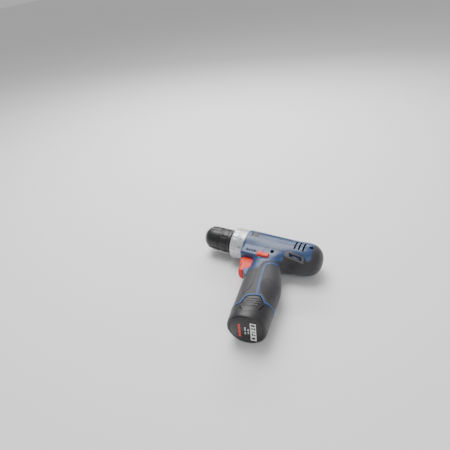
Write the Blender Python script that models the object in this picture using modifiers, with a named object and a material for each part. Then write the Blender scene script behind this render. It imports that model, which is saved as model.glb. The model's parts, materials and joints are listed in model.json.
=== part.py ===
"""Cordless drill driver, 12 V class, lying on its right side.

Everything is worked out in the drill's own directions: X runs back along the barrel from the front
face of the torque collar, Y runs up from the grip, and Z runs out to the drill's left side.
"""

import math

import bmesh
import bpy
from mathutils import Matrix, Vector

MM = 0.001
WELD = 0.0002 * MM
GAP = 0.3 * MM                      # between touching neighbours
RUNNING = 0.25 * MM                 # around shafts and sliding pieces

# Barrel
BARREL_RADIUS = 26.5 * MM
BARREL_FRONT = 24.0 * MM
BARREL_REAR = 144.8 * MM
DOME_LENGTH = 33.0 * MM
DOME_ROUNDNESS = 2.6
REAR_RISE = 3.0 * MM                # how far the barrel's middle climbs towards the rear
REAR_RISE_START = 100.0 * MM
REAR_RISE_LENGTH = 32.0 * MM

# Shell walls
WALL = 2.9 * MM
SKIN = 1.4 * MM                     # soft cover over the shell
BAND_RAISE = 0.5 * MM
PANEL_DEPTH = 0.5 * MM

# Front housing between barrel and trigger
POD_FRONT = 25.0 * MM
POD_BOTTOM = -36.0 * MM
POD_REAR = 60.0 * MM
POD_HALF_WIDTH = 19.0 * MM
POD_ROUNDING = 4.0 * MM

# Guard below the trigger, drawn from the side; it stands out of the grip's front
GUARD = ((62.0, -57.5), (49.5, -57.5), (44.3, -61.0), (43.9, -63.6), (46.8, -70.0), (51.4, -75.6),
         (62.0, -77.0))
GUARD_HALF_WIDTH = 12.2 * MM
GUARD_ROUNDING = 1.0 * MM

# Grip: its axis starts in the middle of the battery's base and leans forward going up
GRIP_LEAN = math.radians(9.3)
BASE_X = 90.0 * MM
BASE_Y = -156.0 * MM
GRIP_TOP = 142.0 * MM
# Hollow of the grip, which the wall goes round.
# Distance up the axis: front depth, rear depth, half width, squareness
GRIP_SECTIONS = (
    (0.0, 21.7, 21.7, 21.3, 2.0),
    (1.4, 23.3, 23.3, 22.8, 2.0),
    (4.0, 24.1, 24.1, 23.6, 2.0),
    (12.0, 24.1, 24.6, 23.6, 2.05),
    (22.0, 24.1, 25.1, 23.6, 2.1),
    (34.0, 24.1, 25.6, 22.9, 2.15),
    (46.0, 24.1, 26.5, 21.3, 2.2),
    (58.0, 24.1, 27.6, 20.0, 2.25),
    (72.0, 24.1, 28.1, 19.3, 2.3),
    (84.0, 23.7, 26.9, 19.1, 2.3),
    (96.0, 22.7, 24.1, 18.5, 2.3),
    (108.0, 21.7, 20.7, 17.5, 2.3),
    (118.0, 21.1, 19.5, 16.7, 2.3),
    (127.0, 21.1, 23.1, 16.3, 2.3),
    (133.0, 21.1, 30.1, 16.1, 2.3),
    (142.0, 21.1, 33.1, 15.7, 2.3),
)

# Lower edge of the shell, across the grip: (across, up) from the middle of the battery's base
RIM_MIDDLE = 28.0 * MM
RIM_SLOPE = 0.25
NOTCH = ((-12.5, 24.9), (-9.8, 34.5), (-6.5, 38.8), (9.0, 42.6), (13.2, 38.2), (16.8, 32.2))
RIM_STRIP = 2.3 * MM
PIPING_WIDTH = 2.7 * MM
PIPING = ((87.2, -112.6), (86.2, -108.0), (82.6, -94.0), (78.8, -78.0), (75.0, -56.0), (75.4, -50.5),
          (78.6, -46.0), (90.0, -38.6))

# Soft cover's edge against the hard shell, from the grip's front up and back to the rear end
COVER_EDGE = ((40.0, -80.5), (52.0, -78.0), (54.6, -70.0), (57.6, -65.6), (65.0, -62.6), (68.4, -58.6),
              (68.6, -48.4), (70.6, -44.4), (77.0, -40.4), (92.6, -30.4), (92.4, -19.0), (96.0, -13.6),
              (119.6, -14.2), (127.0, -19.4), (132.6, -12.6), (130.2, -8.0), (129.8, 40.0))

# Raised band and sunk name panel on each side of the barrel
BAND = ((26.5, -9.0), (42.0, -6.0), (93.0, -6.4), (99.0, -11.0), (96.4, -16.6), (26.5, -17.2))
PANEL = ((43.0, 9.6), (47.0, -5.2), (95.4, -5.6), (99.6, 0.0), (94.0, 10.6))

# Cooling slots
VENT_FIRST = 103.6 * MM
VENT_PITCH = 6.5 * MM
VENT_COUNT = 3
VENT_WIDTH = 2.6 * MM
VENT_HALF_HEIGHT = 9.0 * MM
REAR_SLOT = ((98.0, -16.2), (118.0, -16.4), (118.6, -20.0), (101.0, -20.6))
BADGE_CENTRE = (37.0 * MM, 2.0 * MM)
BADGE_SIZE = 11.0 * MM
BADGE_THICKNESS = 0.9 * MM

# Torque collar
COLLAR_RADIUS = 25.5 * MM
COLLAR_LENGTH = 23.6 * MM
COLLAR_WALL = 3.0 * MM
COLLAR_RIBS = 18

# Chuck
CHUCK_NOSE = -51.6 * MM
NOSE_RADIUS = 12.3 * MM
NOSE_LENGTH = 6.0 * MM
SLEEVE_FRONT = -48.6 * MM
SLEEVE_REAR = -3.0 * MM
SLEEVE_RADIUS = 19.5 * MM
SLEEVE_TAPER = 4.5 * MM             # how much smaller the sleeve is at its front
SLEEVE_WALL = 2.2 * MM
CHUCK_REAR_STEP = 1.5 * MM          # how far the chuck's body stands out behind its sleeve
SLEEVE_PADS = 8
BIT_BORE = 5.2 * MM
JAW_RADIUS = 3.3 * MM
JAW_LENGTH = 26.0 * MM
JAW_LEAN = math.radians(16.0)
JAW_OPENING = 3.2 * MM              # from the axis to each jaw's gripping edge
JAW_AXIS_AT_FRONT = 4.2 * MM
JAW_SETBACK = 1.0 * MM
JAW_COUNT = 3
NUT_FRONT = -38.0 * MM
NUT_LENGTH = 5.0 * MM
CORE_RADIUS = 11.0 * MM
CORE_TAPER = 3.0 * MM               # how much smaller the chuck's body is at its front shoulder

# Output shaft and gears
SPINDLE_RADIUS = 6.0 * MM
SPINDLE_THREAD_RADIUS = 5.0 * MM
SPINDLE_FRONT = -14.0 * MM
BEARING_RADIUS = 10.6 * MM
BEARING_FRONT = 6.0 * MM
BEARING_LENGTH = 7.0 * MM
MODULE = 0.68 * MM
SUN_TEETH = 12
PLANET_TEETH = 15
RING_TEETH = SUN_TEETH + 2 * PLANET_TEETH
PLANETS = 3
BACKLASH = 0.16 * MM
TIP_CLEARANCE = 0.3                 # in modules
STAGE_2 = 33.0 * MM                 # front of the output stage's planets
STAGE_1 = 45.0 * MM                 # front of the motor stage's planets
GEAR_WIDTH = 6.0 * MM
CARRIER_THICKNESS = 2.6 * MM
PIN_RADIUS = 1.5 * MM
RING_RADIUS = 16.8 * MM
CASE_WALL = 2.4 * MM
CASE_NOSE_RADIUS = 13.2 * MM
CASE_FLANGE_RADIUS = 22.2 * MM

# Motor
MOTOR_FRONT = 60.0 * MM
MOTOR_LENGTH = 56.0 * MM
MOTOR_RADIUS = 17.4 * MM
MOTOR_WALL = 1.2 * MM
SHAFT_RADIUS = 1.5 * MM
ARMATURE_RADIUS = 10.5 * MM
ARMATURE_LENGTH = 34.0 * MM
MAGNET_THICKNESS = 4.0 * MM
FAN_RADIUS = 14.0 * MM
FAN_BLADES = 7

# Trigger and switches
TRIGGER_HALF_WIDTH = 9.5 * MM
TRIGGER_TRAVEL = 7.0 * MM
TRIGGER_TOP = POD_BOTTOM + 0.7 * MM
TRIGGER_REAR = 54.0 * MM
# Y, front and rear X of the trigger's sections, from below the trigger's top to its lower end
TRIGGER_SECTIONS = ((-37.6, 28.6, 54.0), (-40.0, 28.0, 54.0), (-43.6, 28.4, 54.0), (-48.2, 30.6, 54.0),
                    (-52.4, 33.0, 54.0), (-56.6, 33.8, 54.0), (-58.0, 33.9, 54.0), (-58.6, 33.9, 48.6),
                    (-60.6, 34.0, 46.8), (-62.6, 34.6, 44.9), (-63.7, 35.8, 43.8))
TRIGGER_TOP_FRONT = 30.4 * MM
TRIGGER_ROUNDING = 6.0 * MM         # how far the finger face curves back to its sides
TRIGGER_ROUNDNESS = 2.6
TRIGGER_LIP = 0.6 * MM              # how far its end rounds off below its last section
TRIGGER_SPRING_RADIUS = 2.9 * MM
SWITCH_FRONT = 62.0 * MM
SWITCH_LENGTH = 24.0 * MM
SWITCH_TOP = -38.0 * MM
SWITCH_HEIGHT = 19.0 * MM
SWITCH_HALF_WIDTH = 10.0 * MM
LEVER_X = 62.4 * MM
LEVER_Y = -31.8 * MM
LEVER_LENGTH = 18.5 * MM
LEVER_HEIGHT = 7.4 * MM
LEVER_PROUD = 3.4 * MM
LEVER_TRAVEL = 3.0 * MM

# Battery pack
TOWER_TOP = 80.0 * MM
TOWER_MIDDLE = 1.5 * MM             # across the grip
TOWER_HALF_DEPTH = 19.6 * MM
TOWER_HALF_WIDTH = 18.3 * MM
TOWER_SQUARENESS = 3.6
TOWER_WALL = 0.8 * MM
SKIRT_WALL = 2.4 * MM
CELL_RADIUS = 8.9 * MM
CELL_LENGTH = 65.0 * MM
CELL_BOTTOM = 6.0 * MM
CAP_SLOPE = 0.24
CAP_MIDDLE = 11.0 * MM
LABEL_RADIUS = 22.5 * MM
LABEL_THICKNESS = 0.8 * MM
BUTTON = ((-9.0, 34.0), (-6.0, 38.0), (8.6, 41.6), (12.4, 37.6), (15.4, 30.6), (12.2, 21.0), (-5.4, 18.0),
          (-11.0, 24.4))
BUTTON_RECESS = 0.5 * MM            # how far it lies below the skirt around it
BUTTON_THICKNESS = 1.7 * MM
BUTTON_TRAVEL = 1.5 * MM

# Housing screws: name, X, Y, side that the head is on
SCREWS = (
    ("housing_screw_barrel", 73.4, -21.6, 1),
    ("housing_screw_rear", 126.6, 3.0, 1),
    ("housing_screw_front", 33.0, -29.2, -1),
    ("housing_screw_web", 84.4, -30.4, -1),
)
SCREW_RADIUS = 1.4 * MM
SCREW_HEAD_RADIUS = 2.7 * MM
SCREW_HEAD_HEIGHT = 2.0 * MM
SCREW_SEAT = 9.0 * MM
BOSS_RADIUS = 3.6 * MM

SIDES = 28                          # around the barrel and the turned parts
GRIP_SIDES = 28
INNER_SIDES = 20                    # around hollows
SMALL_SIDES = 12

BLUE = (0.045, 0.10, 0.21)
SOFT_GREY = (0.055, 0.052, 0.055)
RED = (0.72, 0.07, 0.045)
SILVER = (0.62, 0.63, 0.64)
BLACK = (0.018, 0.018, 0.020)
STEEL = (0.55, 0.56, 0.58)
BRASS = (0.70, 0.52, 0.22)
COPPER = (0.72, 0.35, 0.18)
GREEN = (0.03, 0.22, 0.09)
WHITE_NYLON = (0.75, 0.74, 0.70)
CELL_COVER = (0.10, 0.30, 0.36)


# Scene and object helpers

def clear_scene():
    for item in list(bpy.data.objects):
        bpy.data.objects.remove(item, do_unlink=True)


def new_collection(name):
    group = bpy.data.collections.new(name)
    bpy.context.scene.collection.children.link(group)
    return group


def material(name, colour, roughness, metallic=0.0):
    paint = bpy.data.materials.new(name)
    paint.use_nodes = True
    shader = paint.node_tree.nodes["Principled BSDF"]
    shader.inputs["Base Color"].default_value = (*colour, 1.0)
    shader.inputs["Roughness"].default_value = roughness
    shader.inputs["Metallic"].default_value = metallic
    return paint


def mesh_object(name, work):
    """A scene object from a bmesh, with its faces turned outwards."""
    bmesh.ops.recalc_face_normals(work, faces=work.faces)
    data = bpy.data.meshes.new(name)
    work.to_mesh(data)
    work.free()
    item = bpy.data.objects.new(name, data)
    PARTS.objects.link(item)
    return item


def settle(item):
    """Replace an object's data with what its modifiers make, with its seams welded."""
    view = bpy.context.evaluated_depsgraph_get()
    data = bpy.data.meshes.new_from_object(item.evaluated_get(view))
    work = bmesh.new()
    work.from_mesh(data)
    bmesh.ops.remove_doubles(work, verts=work.verts, dist=WELD)
    name = item.name
    bpy.data.objects.remove(item, do_unlink=True)
    bpy.data.meshes.remove(data)
    return mesh_object(name, work)


def boolean(target, tool, operation, keep_tool=False):
    change = target.modifiers.new(operation.lower(), "BOOLEAN")
    change.operation = operation
    change.solver = "EXACT"
    change.object = tool
    result = settle(target)
    if not keep_tool:
        bpy.data.objects.remove(tool, do_unlink=True)
    return result


def cut(target, tool, keep_tool=False):
    return boolean(target, tool, "DIFFERENCE", keep_tool)


def join(target, tool, keep_tool=False):
    return boolean(target, tool, "UNION", keep_tool)


def keep_inside(target, tool, keep_tool=False):
    return boolean(target, tool, "INTERSECT", keep_tool)


def rename(item, name):
    item.name = name
    item.data.name = name
    return item


def bevel_edges(item, width, segments=2, angle=math.radians(35)):
    change = item.modifiers.new("bevel", "BEVEL")
    change.width = width
    change.segments = segments
    change.limit_method = "ANGLE"
    change.angle_limit = angle
    return settle(item)


# Shape helpers

def loft(name, rings):
    """A closed solid through rings that have the same number of points."""
    work = bmesh.new()
    loops = [[work.verts.new(point) for point in ring] for ring in rings]
    for near, far in zip(loops, loops[1:]):
        for i in range(len(near)):
            j = (i + 1) % len(near)
            work.faces.new((near[i], near[j], far[j], far[i]))
    bmesh.ops.triangulate(work, faces=work.faces)
    work.faces.new(loops[0])
    work.faces.new(loops[-1])
    return mesh_object(name, work)


def turned(name, profile, sides=SIDES):
    """A solid turned about the barrel's axis from a closed or axis-to-axis profile of (x, radius)."""
    closed = profile[0][1] > 0.0 or profile[-1][1] > 0.0
    data = bpy.data.meshes.new(name)
    edges = [(i, i + 1) for i in range(len(profile) - 1)]
    if closed:
        edges.append((len(profile) - 1, 0))
    data.from_pydata([(x, radius, 0.0) for x, radius in profile], edges, [])
    item = bpy.data.objects.new(name, data)
    PARTS.objects.link(item)
    screw = item.modifiers.new("turn", "SCREW")
    screw.axis = "X"
    screw.angle = math.tau
    screw.steps = sides
    screw.render_steps = sides
    screw.use_merge_vertices = True
    screw.merge_threshold = 0.01 * MM
    return settle(item)


def extruded(name, outline, low, high):
    """A flat outline of (x, y) given thickness from one Z to another."""
    curve = bpy.data.curves.new(name, "CURVE")
    curve.dimensions = "2D"
    curve.fill_mode = "BOTH"
    curve.extrude = (high - low) / 2
    spline = curve.splines.new("POLY")
    spline.points.add(len(outline) - 1)
    for point, (x, y) in zip(spline.points, outline):
        point.co = (x, y, 0.0, 1.0)
    spline.use_cyclic_u = True
    item = bpy.data.objects.new(name, curve)
    PARTS.objects.link(item)
    result = settle(item)
    result.data.transform(Matrix.Translation((0.0, 0.0, (low + high) / 2)))
    return result


def block(name, low, high):
    work = bmesh.new()
    size = Vector(high) - Vector(low)
    middle = (Vector(high) + Vector(low)) / 2
    matrix = Matrix.Translation(middle) @ Matrix.Diagonal((*size, 1.0))
    bmesh.ops.create_cube(work, size=1.0, matrix=matrix)
    return mesh_object(name, work)


def rod(name, start, end, radius, sides=SMALL_SIDES, end_radius=None):
    """A cylinder, or a cone, between two points."""
    start, end = Vector(start), Vector(end)
    along = end - start
    turn = Vector((0.0, 0.0, 1.0)).rotation_difference(along).to_matrix().to_4x4()
    matrix = Matrix.Translation((start + end) / 2) @ turn
    work = bmesh.new()
    bmesh.ops.create_cone(work, cap_ends=True, segments=sides, radius1=radius,
                          radius2=radius if end_radius is None else end_radius,
                          depth=along.length, matrix=matrix)
    return mesh_object(name, work)


def coil(name, centre_x, y, z, radius, wire, length, turns, points_per_turn):
    """A compression spring along X."""
    curve = bpy.data.curves.new(name, "CURVE")
    curve.dimensions = "3D"
    curve.bevel_depth = wire
    curve.bevel_resolution = 0
    curve.use_fill_caps = True
    spline = curve.splines.new("POLY")
    count = int(turns * points_per_turn)
    spline.points.add(count)
    for i, point in enumerate(spline.points):
        angle = math.tau * i / points_per_turn
        x = centre_x - length / 2 + length * i / count
        point.co = (x, y + radius * math.cos(angle), z + radius * math.sin(angle), 1.0)
    item = bpy.data.objects.new(name, curve)
    PARTS.objects.link(item)
    return settle(item)


def in_mm(outline):
    return [(x * MM, y * MM) for x, y in outline]


def offset_outline(outline, distance):
    """The outline moved outwards by a distance, whichever way round it runs."""
    points = [Vector(point) for point in outline]
    area = sum(a.x * b.y - b.x * a.y for a, b in zip(points, points[1:] + points[:1]))
    sign = 1.0 if area > 0 else -1.0
    moved = []
    for i, point in enumerate(points):
        before = (point - points[i - 1]).normalized()
        after = (points[(i + 1) % len(points)] - point).normalized()
        first = Vector((before.y, -before.x)) * sign
        second = Vector((after.y, -after.x)) * sign
        middle = (first + second).normalized()
        moved.append(tuple(point + middle * (distance / max(0.35, middle.dot(first)))))
    return moved


def stroke_outline(path, width):
    """A band of constant width along an open path."""
    points = [Vector(point) for point in path]
    left, right = [], []
    for i, point in enumerate(points):
        before = (point - points[max(i - 1, 0)]).normalized() if i else None
        after = (points[i + 1] - point).normalized() if i + 1 < len(points) else None
        along = ((before or after) + (after or before)).normalized()
        side = Vector((-along.y, along.x)) * (width / 2)
        left.append(tuple(point + side))
        right.append(tuple(point - side))
    return left + right[::-1]


def smooth_row(table, value):
    """A row of a table of sections at any value of its first column, on a smooth curve."""
    last = len(table) - 2
    index = max(0, min(last, sum(1 for row in table if row[0] <= value) - 1))
    before = table[max(index - 1, 0)]
    start, end = table[index], table[index + 1]
    after = table[min(index + 2, len(table) - 1)]
    span = end[0] - start[0]
    t = (value - start[0]) / span
    result = []
    for column in range(1, len(start)):
        rise_in = (end[column] - before[column]) / (end[0] - before[0])
        rise_out = (after[column] - start[column]) / (after[0] - start[0])
        h1, h2 = 2 * t ** 3 - 3 * t ** 2 + 1, t ** 3 - 2 * t ** 2 + t
        h3, h4 = -2 * t ** 3 + 3 * t ** 2, t ** 3 - t ** 2
        result.append(h1 * start[column] + h2 * span * rise_in + h3 * end[column] + h4 * span * rise_out)
    return result


# The drill's main shape, at any inset from its surface

GRIP_UP = Vector((-math.sin(GRIP_LEAN), math.cos(GRIP_LEAN), 0.0))
GRIP_ACROSS = Vector((math.cos(GRIP_LEAN), math.sin(GRIP_LEAN), 0.0))
GRIP_BASE = Vector((BASE_X, BASE_Y, 0.0))


def grip_point(across, up, out=0.0):
    return GRIP_BASE + GRIP_ACROSS * across + GRIP_UP * up + Vector((0.0, 0.0, out))


def grip_outline(outline):
    """Turn (across, up) points in millimetres on the grip into (x, y) points."""
    return [tuple(grip_point(a * MM, b * MM)[:2]) for a, b in outline]


def superellipse(angle, squareness):
    c, s = math.cos(angle), math.sin(angle)
    power = 2.0 / squareness
    return math.copysign(abs(c) ** power, c), math.copysign(abs(s) ** power, s)


def grip_ring(up, inset, sides=GRIP_SIDES):
    front, rear, half_width, squareness = smooth_row(GRIP_SECTIONS, min(max(up / MM, 0.0), GRIP_TOP / MM))
    middle = (rear - front) / 2 * MM
    outwards = WALL - inset
    half_depth = (front + rear) / 2 * MM + outwards
    ring = []
    for i in range(sides):
        u, v = superellipse(math.tau * (i + 0.5) / sides, squareness)
        ring.append(grip_point(middle + half_depth * u, up, (half_width * MM + outwards) * v))
    return ring


def grip_solid(name, inset, low, high, sides=GRIP_SIDES, spacing=10.0 * MM):
    count = max(2, round((high - low) / spacing))
    ups = [low + (high - low) * i / count for i in range(count + 1)]
    return loft(name, [grip_ring(up, inset, sides) for up in ups])


def base_solid(name, high):
    """The battery's end, with the closer rings that its rounded edge needs."""
    ups = [d * MM for d in (0.0, 0.5, 1.6, 4.0)]
    count = max(2, round((high - ups[-1]) / (10.0 * MM)))
    ups += [ups[-1] + (high - ups[-1]) * i / count for i in range(1, count + 1)]
    return loft(name, [grip_ring(up, 0.0) for up in ups])


def barrel_section(x, inset):
    """Half height, half width and rise of the barrel at a distance along it."""
    start = BARREL_REAR - DOME_LENGTH
    reach = max(0.0, (x - start) / (BARREL_REAR - inset - start))
    shrink = max(0.0, 1.0 - reach ** DOME_ROUNDNESS) ** (1.0 / DOME_ROUNDNESS)
    t = min(1.0, max(0.0, (x - REAR_RISE_START) / REAR_RISE_LENGTH))
    rise = REAR_RISE * t * t * (3 - 2 * t)
    return (BARREL_RADIUS - inset) * shrink, rise


def barrel_solid(name, inset, front, sides=SIDES):
    start = BARREL_REAR - DOME_LENGTH
    end = BARREL_REAR - inset
    steps = 7 if sides == SIDES else 5
    xs = [front, REAR_RISE_START] if start > REAR_RISE_START + 5 * MM else [front]
    xs += [start + (end - start) * math.sin(math.pi / 2 * i / steps) for i in range(steps)]
    xs.append(end - 0.25 * MM)
    rings = []
    for x in xs:
        radius, rise = barrel_section(x, inset)
        ring = []
        for i in range(sides):
            angle = math.tau * i / sides
            ring.append((x, rise + radius * math.cos(angle), radius * math.sin(angle)))
        rings.append(ring)
    return loft(name, rings)


def pod_solid(name, inset):
    front, bottom = POD_FRONT + inset, POD_BOTTOM + inset
    outline = [(front, -8 * MM), (front, bottom), (POD_REAR, bottom), (POD_REAR, -8 * MM)]
    half_width = POD_HALF_WIDTH - inset
    pod = extruded(name, outline, -half_width, half_width)
    return bevel_edges(pod, max(POD_ROUNDING - inset, 0.6 * MM), 1 if inset > WALL / 2 else 3)


def body_solid(name, inset, front=BARREL_FRONT, grip_low=8.0 * MM, sides=SIDES):
    body = barrel_solid(name, inset, front, sides)
    body = join(body, pod_solid("pod", inset))
    return join(body, grip_solid("grip", inset, grip_low, GRIP_TOP - inset, sides))


# Regions that divide the body, drawn from the side and pushed right through it

FAR = 60 * MM


def rim_outline(lift=0.0):
    """What lies below the shell's lower edge; a positive lift moves the edge up the grip."""
    left, right = -40.0, 45.0
    points = [(left, RIM_MIDDLE / MM + RIM_SLOPE * left), *NOTCH, (right, RIM_MIDDLE / MM + RIM_SLOPE * right),
              (right, -12.0), (left, -12.0)]
    return offset_outline(grip_outline(points), lift)


def cap_outline(lift=0.0):
    left, right = -40.0, 45.0
    points = [(left, CAP_MIDDLE / MM + CAP_SLOPE * left), (right, CAP_MIDDLE / MM + CAP_SLOPE * right),
              (right, -12.0), (left, -12.0)]
    return offset_outline(grip_outline(points), lift)


def cover_region(name, grow):
    """Where the soft cover lies: behind its edge, above the rim strip and off the piping."""
    far_points = [(160.0, 40.0), (160.0, -175.0), (15.0, -175.0), (15.0, -80.5)]
    outline = offset_outline(in_mm(COVER_EDGE + tuple(far_points)), grow)
    region = extruded(name, outline, -FAR, FAR)
    region = cut(region, extruded("rim", rim_outline(RIM_STRIP - grow), -2 * FAR, 2 * FAR))
    piping = stroke_outline(in_mm(PIPING), PIPING_WIDTH - 2 * grow)
    return cut(region, extruded("piping", piping, -2 * FAR, 2 * FAR))


def half(item, name, side):
    """The left (1) or right (-1) half of a solid."""
    low = (-200 * MM, -250 * MM, GAP / 2 if side > 0 else -FAR)
    high = (250 * MM, 100 * MM, FAR if side > 0 else -GAP / 2)
    return rename(keep_inside(item, block("half_space", low, high)), name)


def copy_of(item, name):
    twin = item.copy()
    twin.data = item.data.copy()
    PARTS.objects.link(twin)
    return rename(twin, name)


# Housing and soft covers

def screw_boss(side_of_head, name, x, y):
    x, y = x * MM, y * MM
    return rod(name, (x, y, -BARREL_RADIUS), (x, y, BARREL_RADIUS), BOSS_RADIUS, 12)


def guard_solid():
    guard = extruded("guard", in_mm(GUARD), -GUARD_HALF_WIDTH, GUARD_HALF_WIDTH)
    return bevel_edges(guard, GUARD_ROUNDING, 1, math.radians(60))


def make_housing():
    outer = join(body_solid("outer", 0.0), guard_solid())
    band = keep_inside(body_solid("band", -BAND_RAISE, BARREL_FRONT + GAP),
                       extruded("band_region", in_mm(BAND), -FAR, FAR))
    outer = join(outer, band)
    shell = cut(outer, body_solid("cavity", WALL, BARREL_FRONT - 6 * MM, 0.0, INNER_SIDES))

    bosses = None
    for name, x, y, side in SCREWS:
        boss = screw_boss(side, name, x, y)
        bosses = boss if bosses is None else join(bosses, boss)
    bosses = keep_inside(bosses, body_solid("inside", WALL / 2, sides=INNER_SIDES))
    shell = join(shell, bosses)

    cover_bed = cut(cover_region("cover_bed", GAP), body_solid("under_cover", SKIN + GAP, 0.0, -5 * MM, 24))
    shell = cut(shell, cover_bed)
    shell = cut(shell, extruded("below_rim", rim_outline(), -FAR, FAR))
    panel = cut(extruded("panel", in_mm(PANEL), -FAR, FAR), body_solid("panel_floor", PANEL_DEPTH))
    shell = cut(shell, panel)

    slot_half = TRIGGER_HALF_WIDTH + GAP
    lip = TRIGGER_SECTIONS[-1][0] * MM - TRIGGER_LIP
    shell = cut(shell, block("trigger_slot", (27.6 * MM, lip - GAP, -slot_half),
                             (TRIGGER_REAR + TRIGGER_TRAVEL + GAP, TRIGGER_TOP + GAP, slot_half)))
    lever_half = (LEVER_LENGTH / 2 + GAP, LEVER_HEIGHT / 2 + GAP)
    shell = cut(shell, block("lever_window", (LEVER_X - lever_half[0], LEVER_Y - lever_half[1], -FAR),
                             (LEVER_X + lever_half[0], LEVER_Y + lever_half[1], FAR)))
    for i in range(VENT_COUNT):
        x = VENT_FIRST + VENT_PITCH * i
        shell = cut(shell, block("vent", (x - VENT_WIDTH / 2, -VENT_HALF_HEIGHT, -FAR),
                                 (x + VENT_WIDTH / 2, VENT_HALF_HEIGHT, FAR)))
    shell = cut(shell, extruded("rear_slot", in_mm(REAR_SLOT), -FAR, FAR))
    size = BADGE_SIZE / 2 + GAP
    x, y = BADGE_CENTRE
    shell = cut(shell, block("badge_seat", (x - size, y - size, BARREL_RADIUS - 1.6 * MM),
                             (x + size, y + size, FAR)))

    left = half(copy_of(shell, "left"), "housing_left", 1)
    right = half(shell, "housing_right", -1)
    halves = {1: left, -1: right}
    for name, x, y, side in SCREWS:
        x, y = x * MM, y * MM
        head, far = halves[side], halves[-side]
        name_head, name_far = head.name, far.name
        bore = SCREW_RADIUS + GAP
        head = cut(head, rod("bore", (x, y, 0.0), (x, y, side * FAR), bore))
        head = cut(head, rod("head_bore", (x, y, side * SCREW_SEAT), (x, y, side * FAR),
                             SCREW_HEAD_RADIUS + GAP))
        far = cut(far, rod("blind", (x, y, 0.0), (x, y, -side * 11 * MM), bore))
        halves[side], halves[-side] = rename(head, name_head), rename(far, name_far)
    return halves[1], halves[-1]


def make_covers():
    skin = cut(body_solid("cover", 0.0, BARREL_FRONT), body_solid("under", SKIN, 10 * MM, -5 * MM, 24))
    skin = keep_inside(skin, cover_region("cover_region", 0.0))
    skin = cut(skin, extruded("rear_slot", offset_outline(in_mm(REAR_SLOT), 0.6 * MM), -FAR, FAR))
    left = half(copy_of(skin, "left"), "soft_cover_left", 1)
    right = half(skin, "soft_cover_right", -1)
    return left, right


def make_badge():
    size = BADGE_SIZE / 2
    x, y = BADGE_CENTRE
    low = BARREL_RADIUS - 1.6 * MM + GAP / 2
    plate = block("badge", (x - size, y - size, low), (x + size, y + size, low + BADGE_THICKNESS))
    return bevel_edges(plate, 0.25 * MM, 1)


def make_screws():
    screws = []
    for name, x, y, side in SCREWS:
        x, y = x * MM, y * MM
        seat = side * (SCREW_SEAT + GAP / 2)
        screw = rod(name, (x, y, seat - side * 17 * MM), (x, y, seat + side * 0.5 * MM), SCREW_RADIUS, 12)
        screw = join(screw, rod("head", (x, y, seat), (x, y, seat + side * SCREW_HEAD_HEIGHT),
                                SCREW_HEAD_RADIUS, 12))
        top = seat + side * SCREW_HEAD_HEIGHT
        for long_x in (True, False):
            a, b = (1.6 * MM, 0.35 * MM) if long_x else (0.35 * MM, 1.6 * MM)
            ends = sorted((top - side * 0.9 * MM, top + side * MM))
            screw = cut(screw, block("cross", (x - a, y - b, ends[0]), (x + a, y + b, ends[1])))
        screws.append(rename(screw, name))
    return screws


# Trigger, switch and direction lever

def trigger_ring(y, front, rear, half_width):
    """One level section of the trigger: flat at the rear, with a finger face curved round to its sides."""
    steps = 8
    ring = [(rear, y, -half_width), (rear, y, half_width)]
    for i in range(steps + 1):
        round_x, round_z = superellipse(math.pi * (0.5 - i / steps), TRIGGER_ROUNDNESS)
        ring.append((front + TRIGGER_ROUNDING * (1 - round_x), y, half_width * round_z))
    return ring


def make_trigger():
    rings = [trigger_ring(TRIGGER_TOP, TRIGGER_TOP_FRONT, TRIGGER_REAR, TRIGGER_HALF_WIDTH - 0.5 * MM)]
    for y, front, rear in TRIGGER_SECTIONS:
        rings.append(trigger_ring(y * MM, front * MM, rear * MM, TRIGGER_HALF_WIDTH))
    y, front, rear = TRIGGER_SECTIONS[-1]
    rings.append(trigger_ring(y * MM - TRIGGER_LIP, front * MM + MM, rear * MM - TRIGGER_LIP,
                              TRIGGER_HALF_WIDTH - 0.9 * MM))
    trigger = loft("trigger", rings)
    middle = -47.5 * MM
    pocket = rod("pocket", (44 * MM, middle, 0.0), (TRIGGER_REAR + 5 * MM, middle, 0.0),
                 TRIGGER_SPRING_RADIUS + 1.2 * MM)
    return rename(cut(trigger, pocket), "trigger")


def make_trigger_spring():
    start, end = 44.8 * MM, SWITCH_FRONT - 0.9 * MM
    return coil("trigger_spring", (start + end) / 2, -47.5 * MM, 0.0, TRIGGER_SPRING_RADIUS, 0.45 * MM,
                end - start, 4, 10)


def make_switch():
    body = block("speed_switch", (SWITCH_FRONT, SWITCH_TOP - SWITCH_HEIGHT, -SWITCH_HALF_WIDTH),
                 (SWITCH_FRONT + SWITCH_LENGTH, SWITCH_TOP, SWITCH_HALF_WIDTH))
    return bevel_edges(body, 1.0 * MM, 2)


def make_lever():
    reach = POD_HALF_WIDTH + LEVER_PROUD
    half_x, half_y = LEVER_LENGTH / 2, LEVER_HEIGHT / 2
    ends = []
    for side in (1, -1):
        low, high = sorted((side * 12 * MM, side * reach))
        ends.append(bevel_edges(block("pad", (LEVER_X - half_x, LEVER_Y - half_y, low),
                                      (LEVER_X + half_x, LEVER_Y + half_y, high)), 1.1 * MM, 2))
    bar = block("direction_lever", (LEVER_X - 5 * MM, LEVER_Y - 2 * MM, -13 * MM),
                (LEVER_X + 5 * MM, LEVER_Y + 2 * MM, 13 * MM))
    bar = join(bar, ends[0])
    return join(bar, ends[1])


# Torque collar and clutch

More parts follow.
